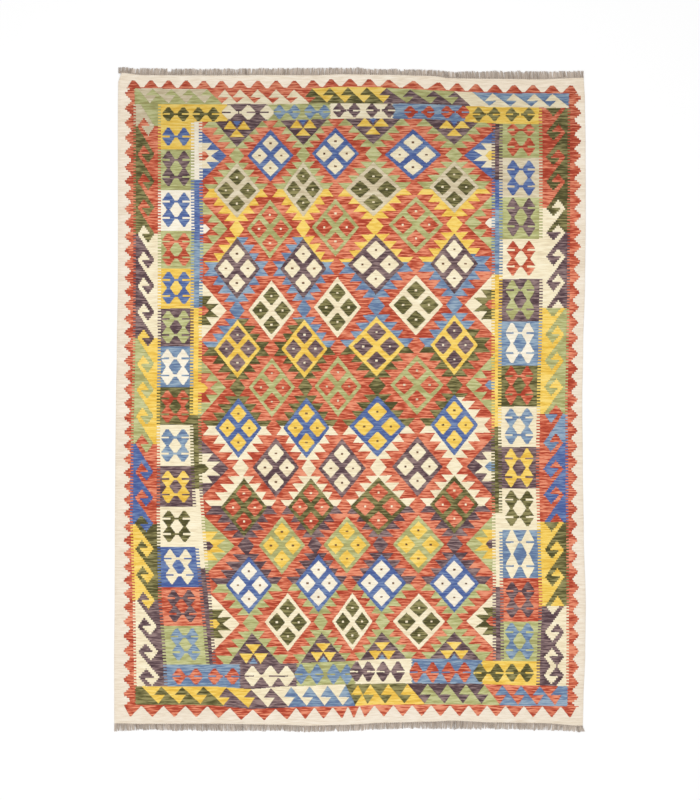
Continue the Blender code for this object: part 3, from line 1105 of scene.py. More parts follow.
@dataclass
class Cloth:
    """The woven rug: one closed cloth whose faces carry the chart, with a soft selvedge all round.

    A grid of faces covers the top and another the underside, both seen as one pattern, since a
    kilim shows it on both faces. A ring of narrow faces closes the rim between them. All round,
    the top drops by rim_drop and the underside rises by rim_rise, both a rim's width inside the
    edge, which lies at the share edge_height of the thickness.
    """

    outline: Outline
    thickness: float = 0.0034
    rim: float = 0.0016
    rim_drop: float = 0.0011
    rim_rise: float = 0.00033
    edge_height: float = 0.45
    waviness: Waviness = field(default_factory=Waviness)
    columns: int = STITCHES_ACROSS // FACE_STITCHES_ACROSS
    rows: int = STITCHES_DOWN // FACE_STITCHES_DOWN

    def build(self) -> bpy.types.Object:
        """Returns the cloth's mesh, with its chart, its weave map and its bake map."""
        u, v = np.meshgrid(np.arange(self.columns + 1) / self.columns,
                           1.0 - np.arange(self.rows + 1) / self.rows)
        ring = self.ring(u.shape)
        faces, source = self.faces(u.shape, ring)
        cloth = new_mesh("kilim_cloth", self.points(u, v, ring), faces)
        self.add_maps(cloth, u, v, ring, faces.ravel())
        chart = self.chart()
        packed, slits = self.packed(chart)[source], self.slits(chart)[source]
        for number, half in enumerate(HALVES):
            carry(cloth, "stitches_" + half, "FLOAT_VECTOR", "FACE", packed[:, number])
            carry(cloth, "slits_" + half, "FLOAT", "FACE", slits[:, number])
        return cloth

    def points(self, u: Array, v: Array, ring: Array) -> Array:
        """Places the vertices of the top, of the underside and of the edge between them.

        Args:
            u: the grid's shares of the way across.
            v: the grid's shares of the way up.
            ring: the border vertices in order.

        Returns:
            The vertices, one a row, in metres.
        """
        x, y = self.outline.place(u, v)
        lift = self.waviness.lift(x, y, u)
        border = np.zeros(u.size)
        border[ring] = 1.0
        border = border.reshape(u.shape)
        top, under, edge = (
            np.stack([x, y, height], axis=-1).reshape(-1, 3)
            for height in (lift + self.thickness - self.rim_drop * border,
                           lift + self.rim_rise * border, lift + self.thickness * self.edge_height))
        inward = -top[ring, :2]
        shrink = self.rim * inward / np.linalg.norm(inward, axis=1, keepdims=True)
        top[ring, :2] += shrink
        under[ring, :2] += shrink
        return np.concatenate([top, under, edge[ring]])

    def add_maps(self, cloth: bpy.types.Object, u: Array, v: Array, ring: Array,
                 corners: Array) -> None:
        """Adds the weave map, which counts faces across and down, and the bake map.

        Args:
            cloth: the cloth.
            u: the grid's shares of the way across.
            v: the grid's shares of the way up.
            ring: the border vertices in order.
            corners: the vertex number of each corner of each face.
        """
        at_u, at_v = (np.concatenate([share.ravel(), share.ravel(), share.ravel()[ring]])[corners]
                      for share in (u, v))
        corner_map(cloth, "weave", at_u * self.columns, (1.0 - at_v) * self.rows)
        inset = np.where(corners >= 2 * u.size, 1.0, 1.0 - BAKE_RIM)
        corner_map(cloth, "OFBake", 0.5 + (at_u - 0.5) * inset, 0.5 + (at_v - 0.5) * inset)

    def chart(self) -> Chart:
        """Returns the chart, read at the middle of every stitch of the cloth."""
        u = (np.arange(STITCHES_ACROSS) + 0.5) / STITCHES_ACROSS
        v = 1.0 - (np.arange(STITCHES_DOWN) + 0.5) / STITCHES_DOWN
        return weave_chart(*to_chart(*self.outline.place(*np.meshgrid(u, v))))

    def packed(self, chart: Chart) -> Array:
        """Packs the stitches of each half of each face as three numbers, one for each row.

        A number holds the yarns of its row's stitches as its digits to the base 16, the first
        stitch lowest.

        Args:
            chart: the whole chart.

        Returns:
            The numbers by face, half and row.
        """
        blocks = chart.yarn.reshape(self.rows, FACE_STITCHES_DOWN, self.columns,
                                    FACE_STITCHES_ACROSS)
        numbers = (blocks * DIGIT_BASE ** np.arange(FACE_STITCHES_ACROSS)).sum(axis=3)
        return np.moveaxis(numbers, 1, 2).reshape(-1, len(HALVES), HALF_ROWS)

    def slits(self, chart: Chart) -> Array:
        """Packs the slits of each half of each face as a number, one bit for each stitch.

        A stitch's bit is set where the next stitch across is of another yarn.

        Args:
            chart: the whole chart.

        Returns:
            The numbers by face and half.
        """
        ends = np.zeros(chart.yarn.shape, dtype=np.int64)
        ends[:, :-1] = chart.yarn[:, 1:] != chart.yarn[:, :-1]
        blocks = ends.reshape(self.rows, len(HALVES), HALF_ROWS, self.columns, FACE_STITCHES_ACROSS)
        weights = 2 ** np.arange(HALF_ROWS * FACE_STITCHES_ACROSS)
        numbers = (blocks * weights.reshape(HALF_ROWS, 1, FACE_STITCHES_ACROSS)).sum(axis=(2, 4))
        return np.moveaxis(numbers, 1, 2).reshape(-1, len(HALVES))

    def ring(self, shape: tuple[int, int]) -> Array:
        """Returns the grid's border vertices in order round the rug, anticlockwise from above."""
        grid = np.arange(shape[0] * shape[1]).reshape(shape)
        return np.concatenate([grid[-1, :-1], grid[:0:-1, -1], grid[0, :0:-1], grid[:-1, 0]])

    def faces(self, shape: tuple[int, int], ring: Array) -> tuple[Array, Array]:
        """Lists the faces of the top, of the underside and of the rim, above and below its edge.

        Args:
            shape: the grid's rows and columns of vertices.
            ring: the border vertices in order.

        Returns:
            The faces, and for each of them the face of the top whose stitches it shows.
        """
        grid = np.arange(shape[0] * shape[1]).reshape(shape)
        top = np.stack([grid[1:, :-1], grid[1:, 1:], grid[:-1, 1:], grid[:-1, :-1]],
                       axis=-1).reshape(-1, 4)
        under = top[:, ::-1] + grid.size
        order = np.arange(len(ring))
        after = np.roll(order, -1)
        edge, edge_after = order + 2 * grid.size, after + 2 * grid.size
        upper = np.stack([edge, edge_after, ring[after], ring], axis=-1)
        lower = np.stack([ring + grid.size, ring[after] + grid.size, edge_after, edge], axis=-1)
        row, column = np.divmod(np.minimum(ring, ring[after]), shape[1])
        row, column = np.clip(row, 0, shape[0] - 2), np.clip(column, 0, shape[1] - 2)
        beside = row * (shape[1] - 1) + column
        number = np.arange(len(top))
        return (np.concatenate([top, under, upper, lower]),
                np.concatenate([number, number, beside, beside]))


def tubes(paths: Array, radii: Array, sides: int, flatten: float = 1.0) -> tuple[Array, Array]:
    """Builds closed tubes along many paths.

    Round each point of a path the vertices lie on a circle of its radius, square to the path, whose
    up direction is kept near +Z. Both ends are closed with rows of flat faces.

    Args:
        paths: the middles, one tube a row, in metres.
        radii: the radius at each of those points.
        sides: how many sides a tube has.
        flatten: how high the tube is for its width.

    Returns:
        The vertices and the four-sided faces.
    """
    count, steps = radii.shape
    along = np.gradient(paths, axis=1)
    along /= np.linalg.norm(along, axis=2, keepdims=True)
    across = np.cross(along, np.array([0.0, 0.0, 1.0]))
    across /= np.linalg.norm(across, axis=2, keepdims=True)
    up = np.cross(across, along)
    turn = 2.0 * np.pi * (np.arange(sides) + 0.5) / sides
    circle = (np.cos(turn)[:, None] * across[:, :, None, :]
              + flatten * np.sin(turn)[:, None] * up[:, :, None, :])
    points = paths[:, :, None, :] + radii[:, :, None, None] * circle
    number = np.arange(count * steps * sides).reshape(count, steps, sides)
    near, far = number[:, :-1, :], number[:, 1:, :]
    wall = np.stack([near, far, np.roll(far, -1, axis=2), np.roll(near, -1, axis=2)], axis=-1)
    rows = np.arange(sides // 2 - 1)
    cap = np.stack([rows, rows + 1, sides - 2 - rows, sides - 1 - rows], axis=-1)
    start, end = number[:, 0, :][:, cap], number[:, -1, :][:, cap[:, ::-1]]
    faces = [block.reshape(-1, 4) for block in (wall, start, end)]
    return points.reshape(-1, 3), np.concatenate(faces)


@dataclass(frozen=True)
class Thinning:
    """A place where the fringe is worn: how far across, how wide, and what share is left of it."""

    across: float
    width: float
    left: float


@dataclass(frozen=True)
class Threads:
    """The fringe's threads: their sizes in metres, and how much they differ from one another.

    The point is where a thread starts to narrow, and how much it loses. The shade is the middle,
    the spread, and how much darker the roots are, which is a painted shade where they run under the
    knots.
    """

    in_bundle: int = 11
    bundle_width: float = 0.88
    sides: int = 4
    steps: int = 6
    radius: float = 0.00088
    radii: Pair = (0.85, 1.15)
    point: Pair = (0.6, 0.45)
    inside: float = 0.0030
    root_height: float = 0.0017
    heap: float = 0.0017
    heap_loss: float = 0.35
    landing: float = 0.45
    fan: float = 1.4
    bow_start: float = 0.15
    tip_spread: float = 0.0011
    bundle_length: float = 0.05
    ragged: float = 0.0022
    bow: float = 0.0009
    bundle_bow: float = 0.0012
    shade: Triple = (0.62, 0.13, 0.30)
    bundle_shade: float = 0.9

    def fall(self, t: Array) -> Array:
        """Returns how far a thread has come down, softly, from 0 at its root to 1 on the floor."""
        fall = np.clip(t / self.landing, 0.0, 1.0)
        return fall * fall * (3.0 - 2.0 * fall)

    def thinner(self, t: Array) -> Array:
        """Returns how thick a thread is along its way: it narrows from near its end to its tip."""
        start, loss = self.point
        return 1.0 - loss * np.clip((t - start) / (1.0 - start), 0.0, 1.0) ** 2


@dataclass(frozen=True)
class Knots:
    """The row of knots at the seam, one to a bundle: their sizes in metres, and their spreads."""

    half_length: float = 0.0041
    length_spread: float = 0.0002
    lean: float = 0.0004
    out: float = 0.0022
    height: float = 0.0020
    radius: float = 0.0021
    radius_spread: float = 0.05
    round_end: Pair = (1.08, 0.02)
    flatten: float = 0.72
    sides: int = 8
    steps: int = 6
    # The knots' middle shade is darker than the threads': a painted shade along the seam.
    shade: Pair = (0.42, 0.10)


@dataclass
class Fringe:
    """The cut warp ends at one end of the rug: bundles of threads out of a row of knots."""

    name: str
    node: bpy.types.Object
    outline: Outline
    out: float
    seed: int
    worn: tuple[Thinning, ...]
    waviness: Waviness = field(default_factory=Waviness)
    threads: Threads = field(default_factory=Threads)
    knots: Knots = field(default_factory=Knots)
    bundles: int = 228
    tip_reach: float = 0.0085
    cell: float = 0.84

    def build(self) -> bpy.types.Object:
        """Returns the fringe as one mesh, with each thread's shade and a cell of its bake map."""
        rng = np.random.default_rng(self.seed)
        paths = self.thread_paths(rng)
        t = np.linspace(0.0, 1.0, self.threads.steps)
        radii = self.threads.radius * rng.uniform(*self.threads.radii, len(paths))[:, None]
        points, faces = tubes(paths, radii * self.threads.thinner(t), self.threads.sides)
        knot_points, knot_faces = tubes(*self.knot_paths(rng), self.knots.sides, self.knots.flatten)
        knot_points[:, 2] = np.maximum(knot_points[:, 2], 0.0)
        piece = new_mesh(self.name, np.concatenate([points, knot_points]),
                         np.concatenate([faces, knot_faces + len(points)]))
        carry(piece, "shade", "FLOAT", "POINT", self.shades(rng, len(paths), t))
        self.add_cells(piece, len(paths))
        return piece

    def seam(self, share: Array) -> tuple[Array, Array]:
        """Returns the cloth's end in plan, in metres, at shares of the way across."""
        return self.outline.place(share, np.full_like(share, 0.5 + 0.5 * self.out))

    def tips(self) -> tuple[Line, Line]:
        """Returns where the frame's comb has its tips, across and along, by share of its width."""
        plan = plan_of(self.node)
        end = self.outline.head if self.out > 0.0 else self.outline.foot
        tips = plan[(plan[:, 1] - end.at(plan[:, 0])) * self.out > self.tip_reach]
        tips = tips[np.argsort(tips[:, 0])]
        share = np.linspace(0.0, 1.0, len(tips))
        return Line(*zip(share, tips[:, 0])), Line(*zip(share, tips[:, 1]))

    def thread_paths(self, rng: np.random.Generator) -> Array:
        """Lays the threads: from inside the cloth, down to the floor, and out to a tip.

        A thread runs straight from its root to its tip, bows to one side by a part of a sine wave,
        fans out from its bundle's middle, and falls from the cloth's middle to its place in the
        heap of threads.

        Args:
            rng: the fringe's random numbers.

        Returns:
            The threads' middles, one thread a row, in metres.
        """
        threads = self.threads
        bundle = np.repeat(np.arange(self.bundles), threads.in_bundle)
        inside_bundle = np.tile((np.arange(threads.in_bundle) + 0.5) / threads.in_bundle, self.bundles)
        gap = (1.0 - threads.bundle_width) / 2.0
        share = (bundle + gap + threads.bundle_width * inside_bundle) / self.bundles
        root_x, root_y = self.seam(share)
        across, along = self.tips()
        tip_x = across.at(share) + rng.normal(0.0, threads.tip_spread, share.shape)
        left = np.ones_like(share)
        for worn in self.worn:
            left = np.where(np.abs(root_x - worn.across) < worn.width / 2.0, worn.left, left)
        length = (along.at(share) - root_y) * left
        length *= 1.0 + rng.normal(0.0, threads.bundle_length, self.bundles)[bundle]
        length -= self.out * np.abs(rng.normal(0.0, threads.ragged, share.shape))
        bow = rng.normal(0.0, threads.bow, share.shape)
        bow += rng.normal(0.0, threads.bundle_bow, self.bundles)[bundle]
        heap = rng.uniform(0.0, 1.0, share.shape)

        t = np.linspace(0.0, 1.0, threads.steps)
        bend = np.sin(np.pi * (threads.bow_start + (1.0 - threads.bow_start) * t)) * t
        x = root_x[:, None] + (tip_x - root_x)[:, None] * t ** threads.fan + bow[:, None] * bend
        start_y = root_y - self.out * threads.inside
        y = start_y[:, None] + (root_y + length - start_y)[:, None] * t
        floor = threads.radius + threads.heap * heap[:, None] * (1.0 - threads.heap_loss * t)
        start = threads.root_height + self.waviness.lift(root_x, root_y, share)[:, None]
        fall = threads.fall(t)
        return np.stack([x, y, start * (1.0 - fall) + floor * fall], axis=-1)

    def knot_paths(self, rng: np.random.Generator) -> tuple[Array, Array]:
        """Lays the knots: short barrels across the bundles, at the seam.

        Args:
            rng: the fringe's random numbers.

        Returns:
            The knots' middles, one knot a row, and the radii there, in metres.
        """
        knots = self.knots
        share = (np.arange(self.bundles) + 0.5) / self.bundles
        x, y = self.seam(share)
        half = knots.half_length + rng.normal(0.0, knots.length_spread, share.shape)
        t = np.linspace(-1.0, 1.0, knots.steps)
        lean = rng.normal(0.0, knots.lean, share.shape)
        lift = self.waviness.lift(x, y, share)
        middle_x = x[:, None] + half[:, None] * t
        middle_y = (y + self.out * knots.out)[:, None] + lean[:, None] * t
        middle_z = np.repeat((lift + knots.height)[:, None], len(t), axis=1)
        fullness, least = knots.round_end
        radii = knots.radius * np.sqrt(np.clip(fullness - t ** 2, least, 1.0))
        radii = radii * (1.0 + rng.normal(0.0, knots.radius_spread, share.shape))[:, None]
        return np.stack([middle_x, middle_y, middle_z], axis=-1), radii

    def shades(self, rng: np.random.Generator, count: int, t: Array) -> Array:
        """Draws the wools' shades: threads differ, and are darker near their roots and in the knots, a
        painted shade along the seam.

        Args:
            rng: the fringe's random numbers.
            count: how many threads there are.
            t: the steps of a thread, 0 at its root to 1 at its tip.

        Returns:
            The shade at each vertex, from 0 for dark to 1 for light.
        """
        strand = rng.normal(0.0, 1.0, count)
        strand += self.threads.bundle_shade * np.repeat(rng.normal(0.0, 1.0, self.bundles),
                                                        self.threads.in_bundle)
        middle, spread, root = self.threads.shade
        # The roots are painted darker: a painted shade where they run under the knots and into the
        # cloth.
        threads = middle + spread * strand[:, None] - root * (1.0 - t) ** 3
        # The knots are painted darker too: a painted shade along the seam.
        middle, spread = self.knots.shade
        knots = middle + spread * rng.normal(0.0, 1.0, self.bundles)
        return np.clip(np.concatenate([np.repeat(threads.ravel(), self.threads.sides),
                                       np.repeat(knots, self.knots.steps * self.knots.sides)]),
                       0.0, 1.0)

    def add_cells(self, piece: bpy.types.Object, count: int) -> None:
        """Gives the piece its bake map: a small cell for each thread, and then for each knot.

        A cell shows its tube unrolled: across it runs round the tube, and up it runs along it. The
        cells lie in a square grid, and each fills the share cell of its square. Threads and knots
        have as many steps.

        Args:
            piece: the fringe.
            count: how many threads there are.
        """
        corners = np.empty(len(piece.data.loops), dtype=np.int32)
        piece.data.loops.foreach_get("vertex_index", corners)
        steps, grid = self.threads.steps, int(np.ceil(np.sqrt(count + self.bundles)))
        first_knot = count * steps * self.threads.sides
        of_thread = corners < first_knot
        sides = np.where(of_thread, self.threads.sides, self.knots.sides)
        tube, rest = np.divmod(corners - np.where(of_thread, 0, first_knot), steps * sides)
        step, side = np.divmod(rest, sides)
        face_side = side.reshape(-1, 4)
        wraps = (np.ptp(face_side, axis=1) > 1)[:, None] & (face_side == 0)
        side = np.where(wraps, sides.reshape(-1, 4), face_side).ravel()
        row, column = np.divmod(np.where(of_thread, tube, tube + count), grid)
        gap = (1.0 - self.cell) / 2.0
        corner_map(piece, "OFBake", (column + gap + self.cell * side / sides) / grid,
                   (row + gap + self.cell * step / (steps - 1)) / grid)


def linear(red: float, green: float, blue: float) -> tuple[float, float, float, float]:
    """Returns a colour of the picture's kind, 0 to 255, as the linear colour a shader takes."""
    share = np.array([red, green, blue]) / 255.0
    value = np.where(share <= 0.04045, share / 12.92, ((share + 0.055) / 1.055) ** 2.4)
    return (float(value[0]), float(value[1]), float(value[2]), 1.0)


class Value:
    """A number that varies over a surface: a socket whose arithmetic adds Math nodes."""

    def __init__(self, graph: "Graph", socket: Socket) -> None:
        """Wraps a socket of a graph."""
        self.graph = graph
        self.socket = socket

    def maths(self, operation: str, *others: Any) -> "Value":
        """Returns an operation on this value and the others, as a new value."""
        node = self.graph.node("ShaderNodeMath", {"operation": operation},
                               dict(enumerate((self, *others))))
        return Value(self.graph, node.outputs[0])

    def __add__(self, other: Any) -> "Value":
        """Returns the sum."""
        return self.maths("ADD", other)

    def __sub__(self, other: Any) -> "Value":
        """Returns the difference."""
        return self.maths("SUBTRACT", other)

    def __rsub__(self, other: Any) -> "Value":
        """Returns a number less this value."""
        return (self * -1.0).maths("ADD", other)

    def __mul__(self, other: Any) -> "Value":
        """Returns the product."""
        return self.maths("MULTIPLY", other)

    def __truediv__(self, other: Any) -> "Value":
        """Returns the quotient."""
        return self.maths("DIVIDE", other)

    def __mod__(self, other: Any) -> "Value":
        """Returns the remainder, which is never below zero."""
        return self.maths("FLOORED_MODULO", other)

    def __gt__(self, other: Any) -> "Value":
        """Returns 1 where this value is more than the other, and 0 elsewhere."""
        return self.maths("GREATER_THAN", other)

    __radd__ = __add__
    __rmul__ = __mul__

    def floor(self) -> "Value":
        """Returns the whole number at or below this value."""
        return self.maths("FLOOR")

    def sine(self) -> "Value":
        """Returns the sine of this value, in radians."""
        return self.maths("SINE")

    def size(self) -> "Value":
        """Returns this value without its sign."""
        return self.maths("ABSOLUTE")

    def clamped(self) -> "Value":
        """Returns this value held between 0 and 1."""
        return self.maths("MINIMUM", 1.0).maths("MAXIMUM", 0.0)


class Graph:
    """The nodes of one material."""

    def __init__(self, name: str) -> None:
        """Makes the material with only its Principled shader and its output.

        Args:
            name: the material's name.
        """
        self.material = bpy.data.materials.new(name)
        self.material.use_nodes = True
        self.tree = self.material.node_tree
        self.shader = self.tree.nodes["Principled BSDF"]

    def node(self, kind: str, settings: dict[str, Any], sockets: dict[Any, Any]) -> bpy.types.Node:
        """Adds a node.

        Args:
            kind: the node's type.
            settings: its properties, set first; "stops" are a colour ramp's places and colours.
            sockets: its inputs by name or number, each a value, a socket or a number.

        Returns:
            The node.
        """
        node = self.tree.nodes.new(kind)
        for name, setting in settings.items():
            if name == "stops":
                self.fill_ramp(node.color_ramp, setting)
            else:
                setattr(node, name, setting)
        for name, value in sockets.items():
            self.plug(node.inputs[name], value)
        return node

    def fill_ramp(self, ramp: bpy.types.ColorRamp, stops: Any) -> None:
        """Gives a colour ramp its stops, from the lowest up, with steps between them."""
        ramp.interpolation = "CONSTANT"
        for element, (place, colour) in zip(ramp.elements, stops):
            element.position = place
            element.color = colour
        for place, colour in stops[2:]:
            ramp.elements.new(place).color = colour

    def plug(self, socket: Socket, value: Any) -> None:
        """Links a value or a socket to an input, or sets the input to a number or a colour."""
        if isinstance(value, Value):
            self.tree.links.new(value.socket, socket)
        elif isinstance(value, Socket):
            self.tree.links.new(value, socket)
        else:
            socket.default_value = value

    def attribute(self, name: str, output: str = "Fac") -> Value:
        """Returns an attribute of the mesh: its number, or its vector if the output says so."""
        node = self.node("ShaderNodeAttribute", {"attribute_name": name}, {})
        return Value(self, node.outputs[output])

    def place(self) -> tuple[Value, Value, Value]:
        """Returns the place in the object, in metres."""
        return self.split(self.node("ShaderNodeTexCoord", {}, {}).outputs["Object"])

    def split(self, vector: Any) -> tuple[Value, Value, Value]:
        """Returns a vector's three numbers."""
        node = self.node("ShaderNodeSeparateXYZ", {}, {0: vector})
        return tuple(Value(self, output) for output in node.outputs)

    def join(self, x: Any, y: Any, z: Any) -> Socket:
        """Returns a vector of three numbers."""
        return self.node("ShaderNodeCombineXYZ", {}, {0: x, 1: y, 2: z}).outputs[0]

    def noise(self, vector: Socket, scale: float, detail: float = 2.0) -> Value:
        """Returns a soft noise of 0 to 1 over a vector."""
        node = self.node("ShaderNodeTexNoise", {"noise_dimensions": "3D"},
                         {"Vector": vector, "Scale": scale, "Detail": detail})
        return Value(self, node.outputs["Fac"])

    def ramp(self, value: Value, stops: Any) -> Socket:
        """Returns the colour of the stop at or below a value."""
        node = self.node("ShaderNodeValToRGB", {"stops": stops}, {0: value})
        return node.outputs["Color"]

    def mix(self, factor: Any, first: Any, second: Any, blend: str = "MIX") -> Socket:
        """Mixes two colours.

        Args:
            factor: 0 for the first colour to 1 for the second.
            first: the first colour.
            second: the second colour.
            blend: how they are blended.

        Returns:
            The mixed colour.
        """
        # The mix of colours takes inputs 6 and 7, and gives output 2.
        node = self.node("ShaderNodeMix", {"data_type": "RGBA", "blend_type": blend},
                         {0: factor, 6: first, 7: second})
        return node.outputs[2]

    def bump(self, height: Value, depth: float) -> Socket:
        """Returns the normal of a surface whose height, 0 to 1, is so many metres deep."""
        node = self.node("ShaderNodeBump", {}, {"Strength": 1.0, "Distance": depth, "Height": height})
        return node.outputs["Normal"]

    def finish(self, colour: Any, roughness: Any, normal: Any, constants: dict[str, Any]) -> None:
        """Plugs the shader.

        Args:
            colour: the base colour.
            roughness: the roughness.
            normal: the normal.
            constants: its inputs that are the same all over.
        """
        self.plug(self.shader.inputs["Base Color"], colour)
        self.plug(self.shader.inputs["Roughness"], roughness)
        self.plug(self.shader.inputs["Normal"], normal)
        for name, value in constants.items():
            self.shader.inputs[name].default_value = value


@dataclass(frozen=True)
class Dye:
    """A wool's three shades, as the picture's colours of 0 to 255, and how streaky its dye is."""

    middle: Triple
    light: Triple
    dark: Triple
    streaks: float


DYES = {
    MARGIN: Dye((243, 229, 208), (251, 240, 223), (231, 214, 190), 0.45),
    CREAM: Dye((245, 231, 196), (253, 243, 214), (228, 210, 174), 0.45),
    WHITE: Dye((247, 237, 215), (253, 247, 232), (234, 222, 198), 0.40),
    BEIGE: Dye((219, 204, 171), (233, 221, 193), (200, 183, 150), 0.55),
    YELLOW: Dye((244, 205, 92), (250, 219, 124), (226, 178, 64), 0.60),
    SAGE: Dye((183, 185, 124), (204, 203, 150), (160, 156, 98), 0.70),
    DARK_GREEN: Dye((110, 104, 60), (150, 142, 92), (76, 72, 36), 1.00),
    LIGHT_BLUE: Dye((121, 146, 174), (154, 174, 190), (94, 116, 152), 0.85),
    BLUE: Dye((86, 109, 161), (122, 142, 180), (66, 86, 146), 0.75),
    PURPLE: Dye((110, 87, 90), (152, 128, 124), (78, 56, 62), 1.00),
    RED: Dye((208, 100, 70), (234, 150, 116), (168, 60, 38), 1.00),
    BROWN: Dye((112, 78, 50), (140, 104, 70), (84, 54, 36), 0.60)}


@dataclass(frozen=True)
class Streaks:
    """One kind of streak in a dye: its turns a metre across and along, its detail, its weight."""

    across: float
    along: float
    detail: float
    weight: float


@dataclass(frozen=True)
class WovenWool:
    """The finish of the cloth: each stitch in its own wool, streaked by its dye, and ribbed.

    The wools' colours change by streaks, passes and clouds, whose noises each wool has of its own.
    A slit lies on a stitch that ends a colour, from the share slit_start of the stitch on, and is
    painted darker there: a painted shade in the gap. The ribs' valleys are painted darker as well, a
    painted shade. The coloured wools are lighter by foot_lift at the foot, and deepen by head_depth
    from a place along the rug, in metres, over a length. The heights are shares of the ribs' depth, in
    metres.
    """

    name: str = "woven_wool"
    roughness: float = 0.80
    roughness_range: float = 0.12
    streaks: Streaks = Streaks(19.0, 165.0, 2.0, 1.9)
    passes: Streaks = Streaks(40.0, 520.0, 1.0, 0.6)
    clouds: Streaks = Streaks(1.3, 14.0, 2.0, 0.9)
    own_noise: Pair = (7.3, 3.1)
    contrast: float = 5.0
    passes_a_stitch: float = 2.0
    # painted shade of the ribs: their valleys are darkened in the colour itself
    rib_painted_shade: Pair = (0.12, 0.93)
    rib_depth: float = 0.00035
    slit_start: float = 0.62
    # painted shade in the slits between colours
    slit_shade: float = 0.38
    slit_height: float = 0.8
    fibre_scale: float = 900.0
    fibre_detail: float = 3.0
    fibre_height: float = 0.5
    pass_height: float = 0.5
    deepening: Pair = (0.8, 0.45)
    head_depth: float = 0.2
    foot_lift: float = 0.04

    def build(self) -> bpy.types.Material:
        """Returns the material."""
        graph = Graph(self.name)
        across, down, _ = graph.split(graph.node("ShaderNodeUVMap", {"uv_map": "weave"},
                                                 {}).outputs["UV"])
        stitch_x, stitch_y = across * FACE_STITCHES_ACROSS, down * FACE_STITCHES_DOWN
        yarn, colour_end = self.read(graph, stitch_x, stitch_y)
        slit = colour_end * ((stitch_x % 1.0) > self.slit_start)

        x, y, _ = graph.place()
        streaks, passes, clouds = (self.noise(graph, x, y, yarn, kind)
                                   for kind in (self.streaks, self.passes, self.clouds))
        tone = (streaks * self.streaks.weight + passes * self.passes.weight
                + clouds * self.clouds.weight)
        colour = self.dyed(graph, yarn, tone)

        ribs = self.ribs(stitch_x, stitch_y)
        # Painted shade: the ribs' valleys and the slits are darkened in the colour itself; the abrash
        # factor is the dye lots' own lightness.
        rib_painted_shade, valley_painted_shade = self.rib_painted_shade
        shade = ribs * rib_painted_shade + valley_painted_shade
        shade = shade * (slit * -self.slit_shade + 1.0) * self.abrash(y, yarn)
        colour = graph.mix(1.0, colour, graph.join(shade, shade, shade), "MULTIPLY")
        fibres = graph.noise(graph.join(x * self.fibre_scale, y * self.fibre_scale, yarn), 1.0,
                             self.fibre_detail)
        height = (ribs + fibres * self.fibre_height - slit * self.slit_height
                  + passes * self.pass_height)
        roughness = (fibres * self.roughness_range + self.roughness).clamped()
        graph.finish(colour, roughness, graph.bump(height, self.rib_depth),
                     {"Sheen Weight": 0.12, "Sheen Roughness": 0.6, "Specular IOR Level": 0.18})
        return graph.material

    def dyed(self, graph: Graph, yarn: Value, tone: Value) -> Socket:
        """Dyes the wools, each between its dark, its middle and its light shade.

        Args:
            graph: the material's nodes.
            yarn: the wool's number.
            tone: the streaks, below 0 where they are dark and above 0 where they are light.

        Returns:
            The colour.
        """
        number = (yarn + 0.5) / DIGIT_BASE
        middle, light, dark = (
            graph.ramp(number, [(wool / DIGIT_BASE, linear(*getattr(dye, shade)))
                                for wool, dye in DYES.items()])
            for shade in ("middle", "light", "dark"))
        amount = graph.ramp(number, [(wool / DIGIT_BASE, (dye.streaks,) * 3 + (1.0,))
                                     for wool, dye in DYES.items()])
        amount = graph.node("ShaderNodeRGBToBW", {}, {0: amount}).outputs[0]
        tone = tone * amount * self.contrast
        colour = graph.mix(tone.clamped(), middle, light)
        return graph.mix((tone * -1.0).clamped(), colour, dark)

    def abrash(self, y: Value, yarn: Value) -> Value:
        """Returns how light the dye lots are: all but the margin's wool deepen up the rug."""
        start, length = self.deepening
        deeper = ((y - start) / length).clamped()
        return (yarn > MARGIN + 0.5) * (deeper * -self.head_depth + self.foot_lift) + 1.0

    def read(self, graph: Graph, stitch_x: Value, stitch_y: Value) -> tuple[Value, Value]:
        """Reads each stitch from the numbers that its face holds.

        Its yarn is its column's digit in its row's number. The power of 16 is a product over the
        column's binary digits, so that it comes out whole. Its slit is its bit in its half's number.

        Args:
            graph: the material's nodes.
            stitch_x: the place across, in stitches.
            stitch_y: the place down, in stitches.

        Returns:
            The yarn's number, and 1 on the stitches that end a colour.
        """
        column = (stitch_x % FACE_STITCHES_ACROSS).floor()
        row = (stitch_y % FACE_STITCHES_DOWN).floor()
        lower = row > HALF_ROWS - 0.5
        row = row - lower * HALF_ROWS
        upper_half, lower_half = (graph.attribute("stitches_" + half, "Vector") for half in HALVES)
        # The mix of vectors takes inputs 4 and 5, and gives output 1.
        half = graph.node("ShaderNodeMix", {"data_type": "VECTOR"},
                          {0: lower, 4: upper_half, 5: lower_half}).outputs[1]
        first, second, third = graph.split(half)
        number = first + (second - first) * (row > 0.5) + (third - second) * (row > 1.5)
        ones, twos, fours = (column % 2.0) > 0.5, (column % 4.0) > 1.5, column > 3.5
        power = ((ones * (DIGIT_BASE - 1.0) + 1.0) * (twos * (DIGIT_BASE ** 2 - 1.0) + 1.0)
                 * (fours * (DIGIT_BASE ** 4 - 1.0) + 1.0))
        upper_bits, lower_bits = (graph.attribute("slits_" + half) for half in HALVES)
        bits = upper_bits + (lower_bits - upper_bits) * lower
        bit = graph.node("ShaderNodeMath", {"operation": "POWER"},
                         {0: 2.0, 1: row * FACE_STITCHES_ACROSS + column}).outputs[0]
        return (number / power).floor() % DIGIT_BASE, ((bits + 0.5) / bit).floor() % 2.0

    def noise(self, graph: Graph, x: Value, y: Value, yarn: Value, kind: Streaks) -> Value:
        """Returns streaks along the weft, about -0.5 to 0.5, of their own in each wool."""
        own_x, own_z = self.own_noise
        where = graph.join(x * kind.across + yarn * own_x, y * kind.along, yarn * own_z)
        return graph.noise(where, 1.0, kind.detail) - 0.5

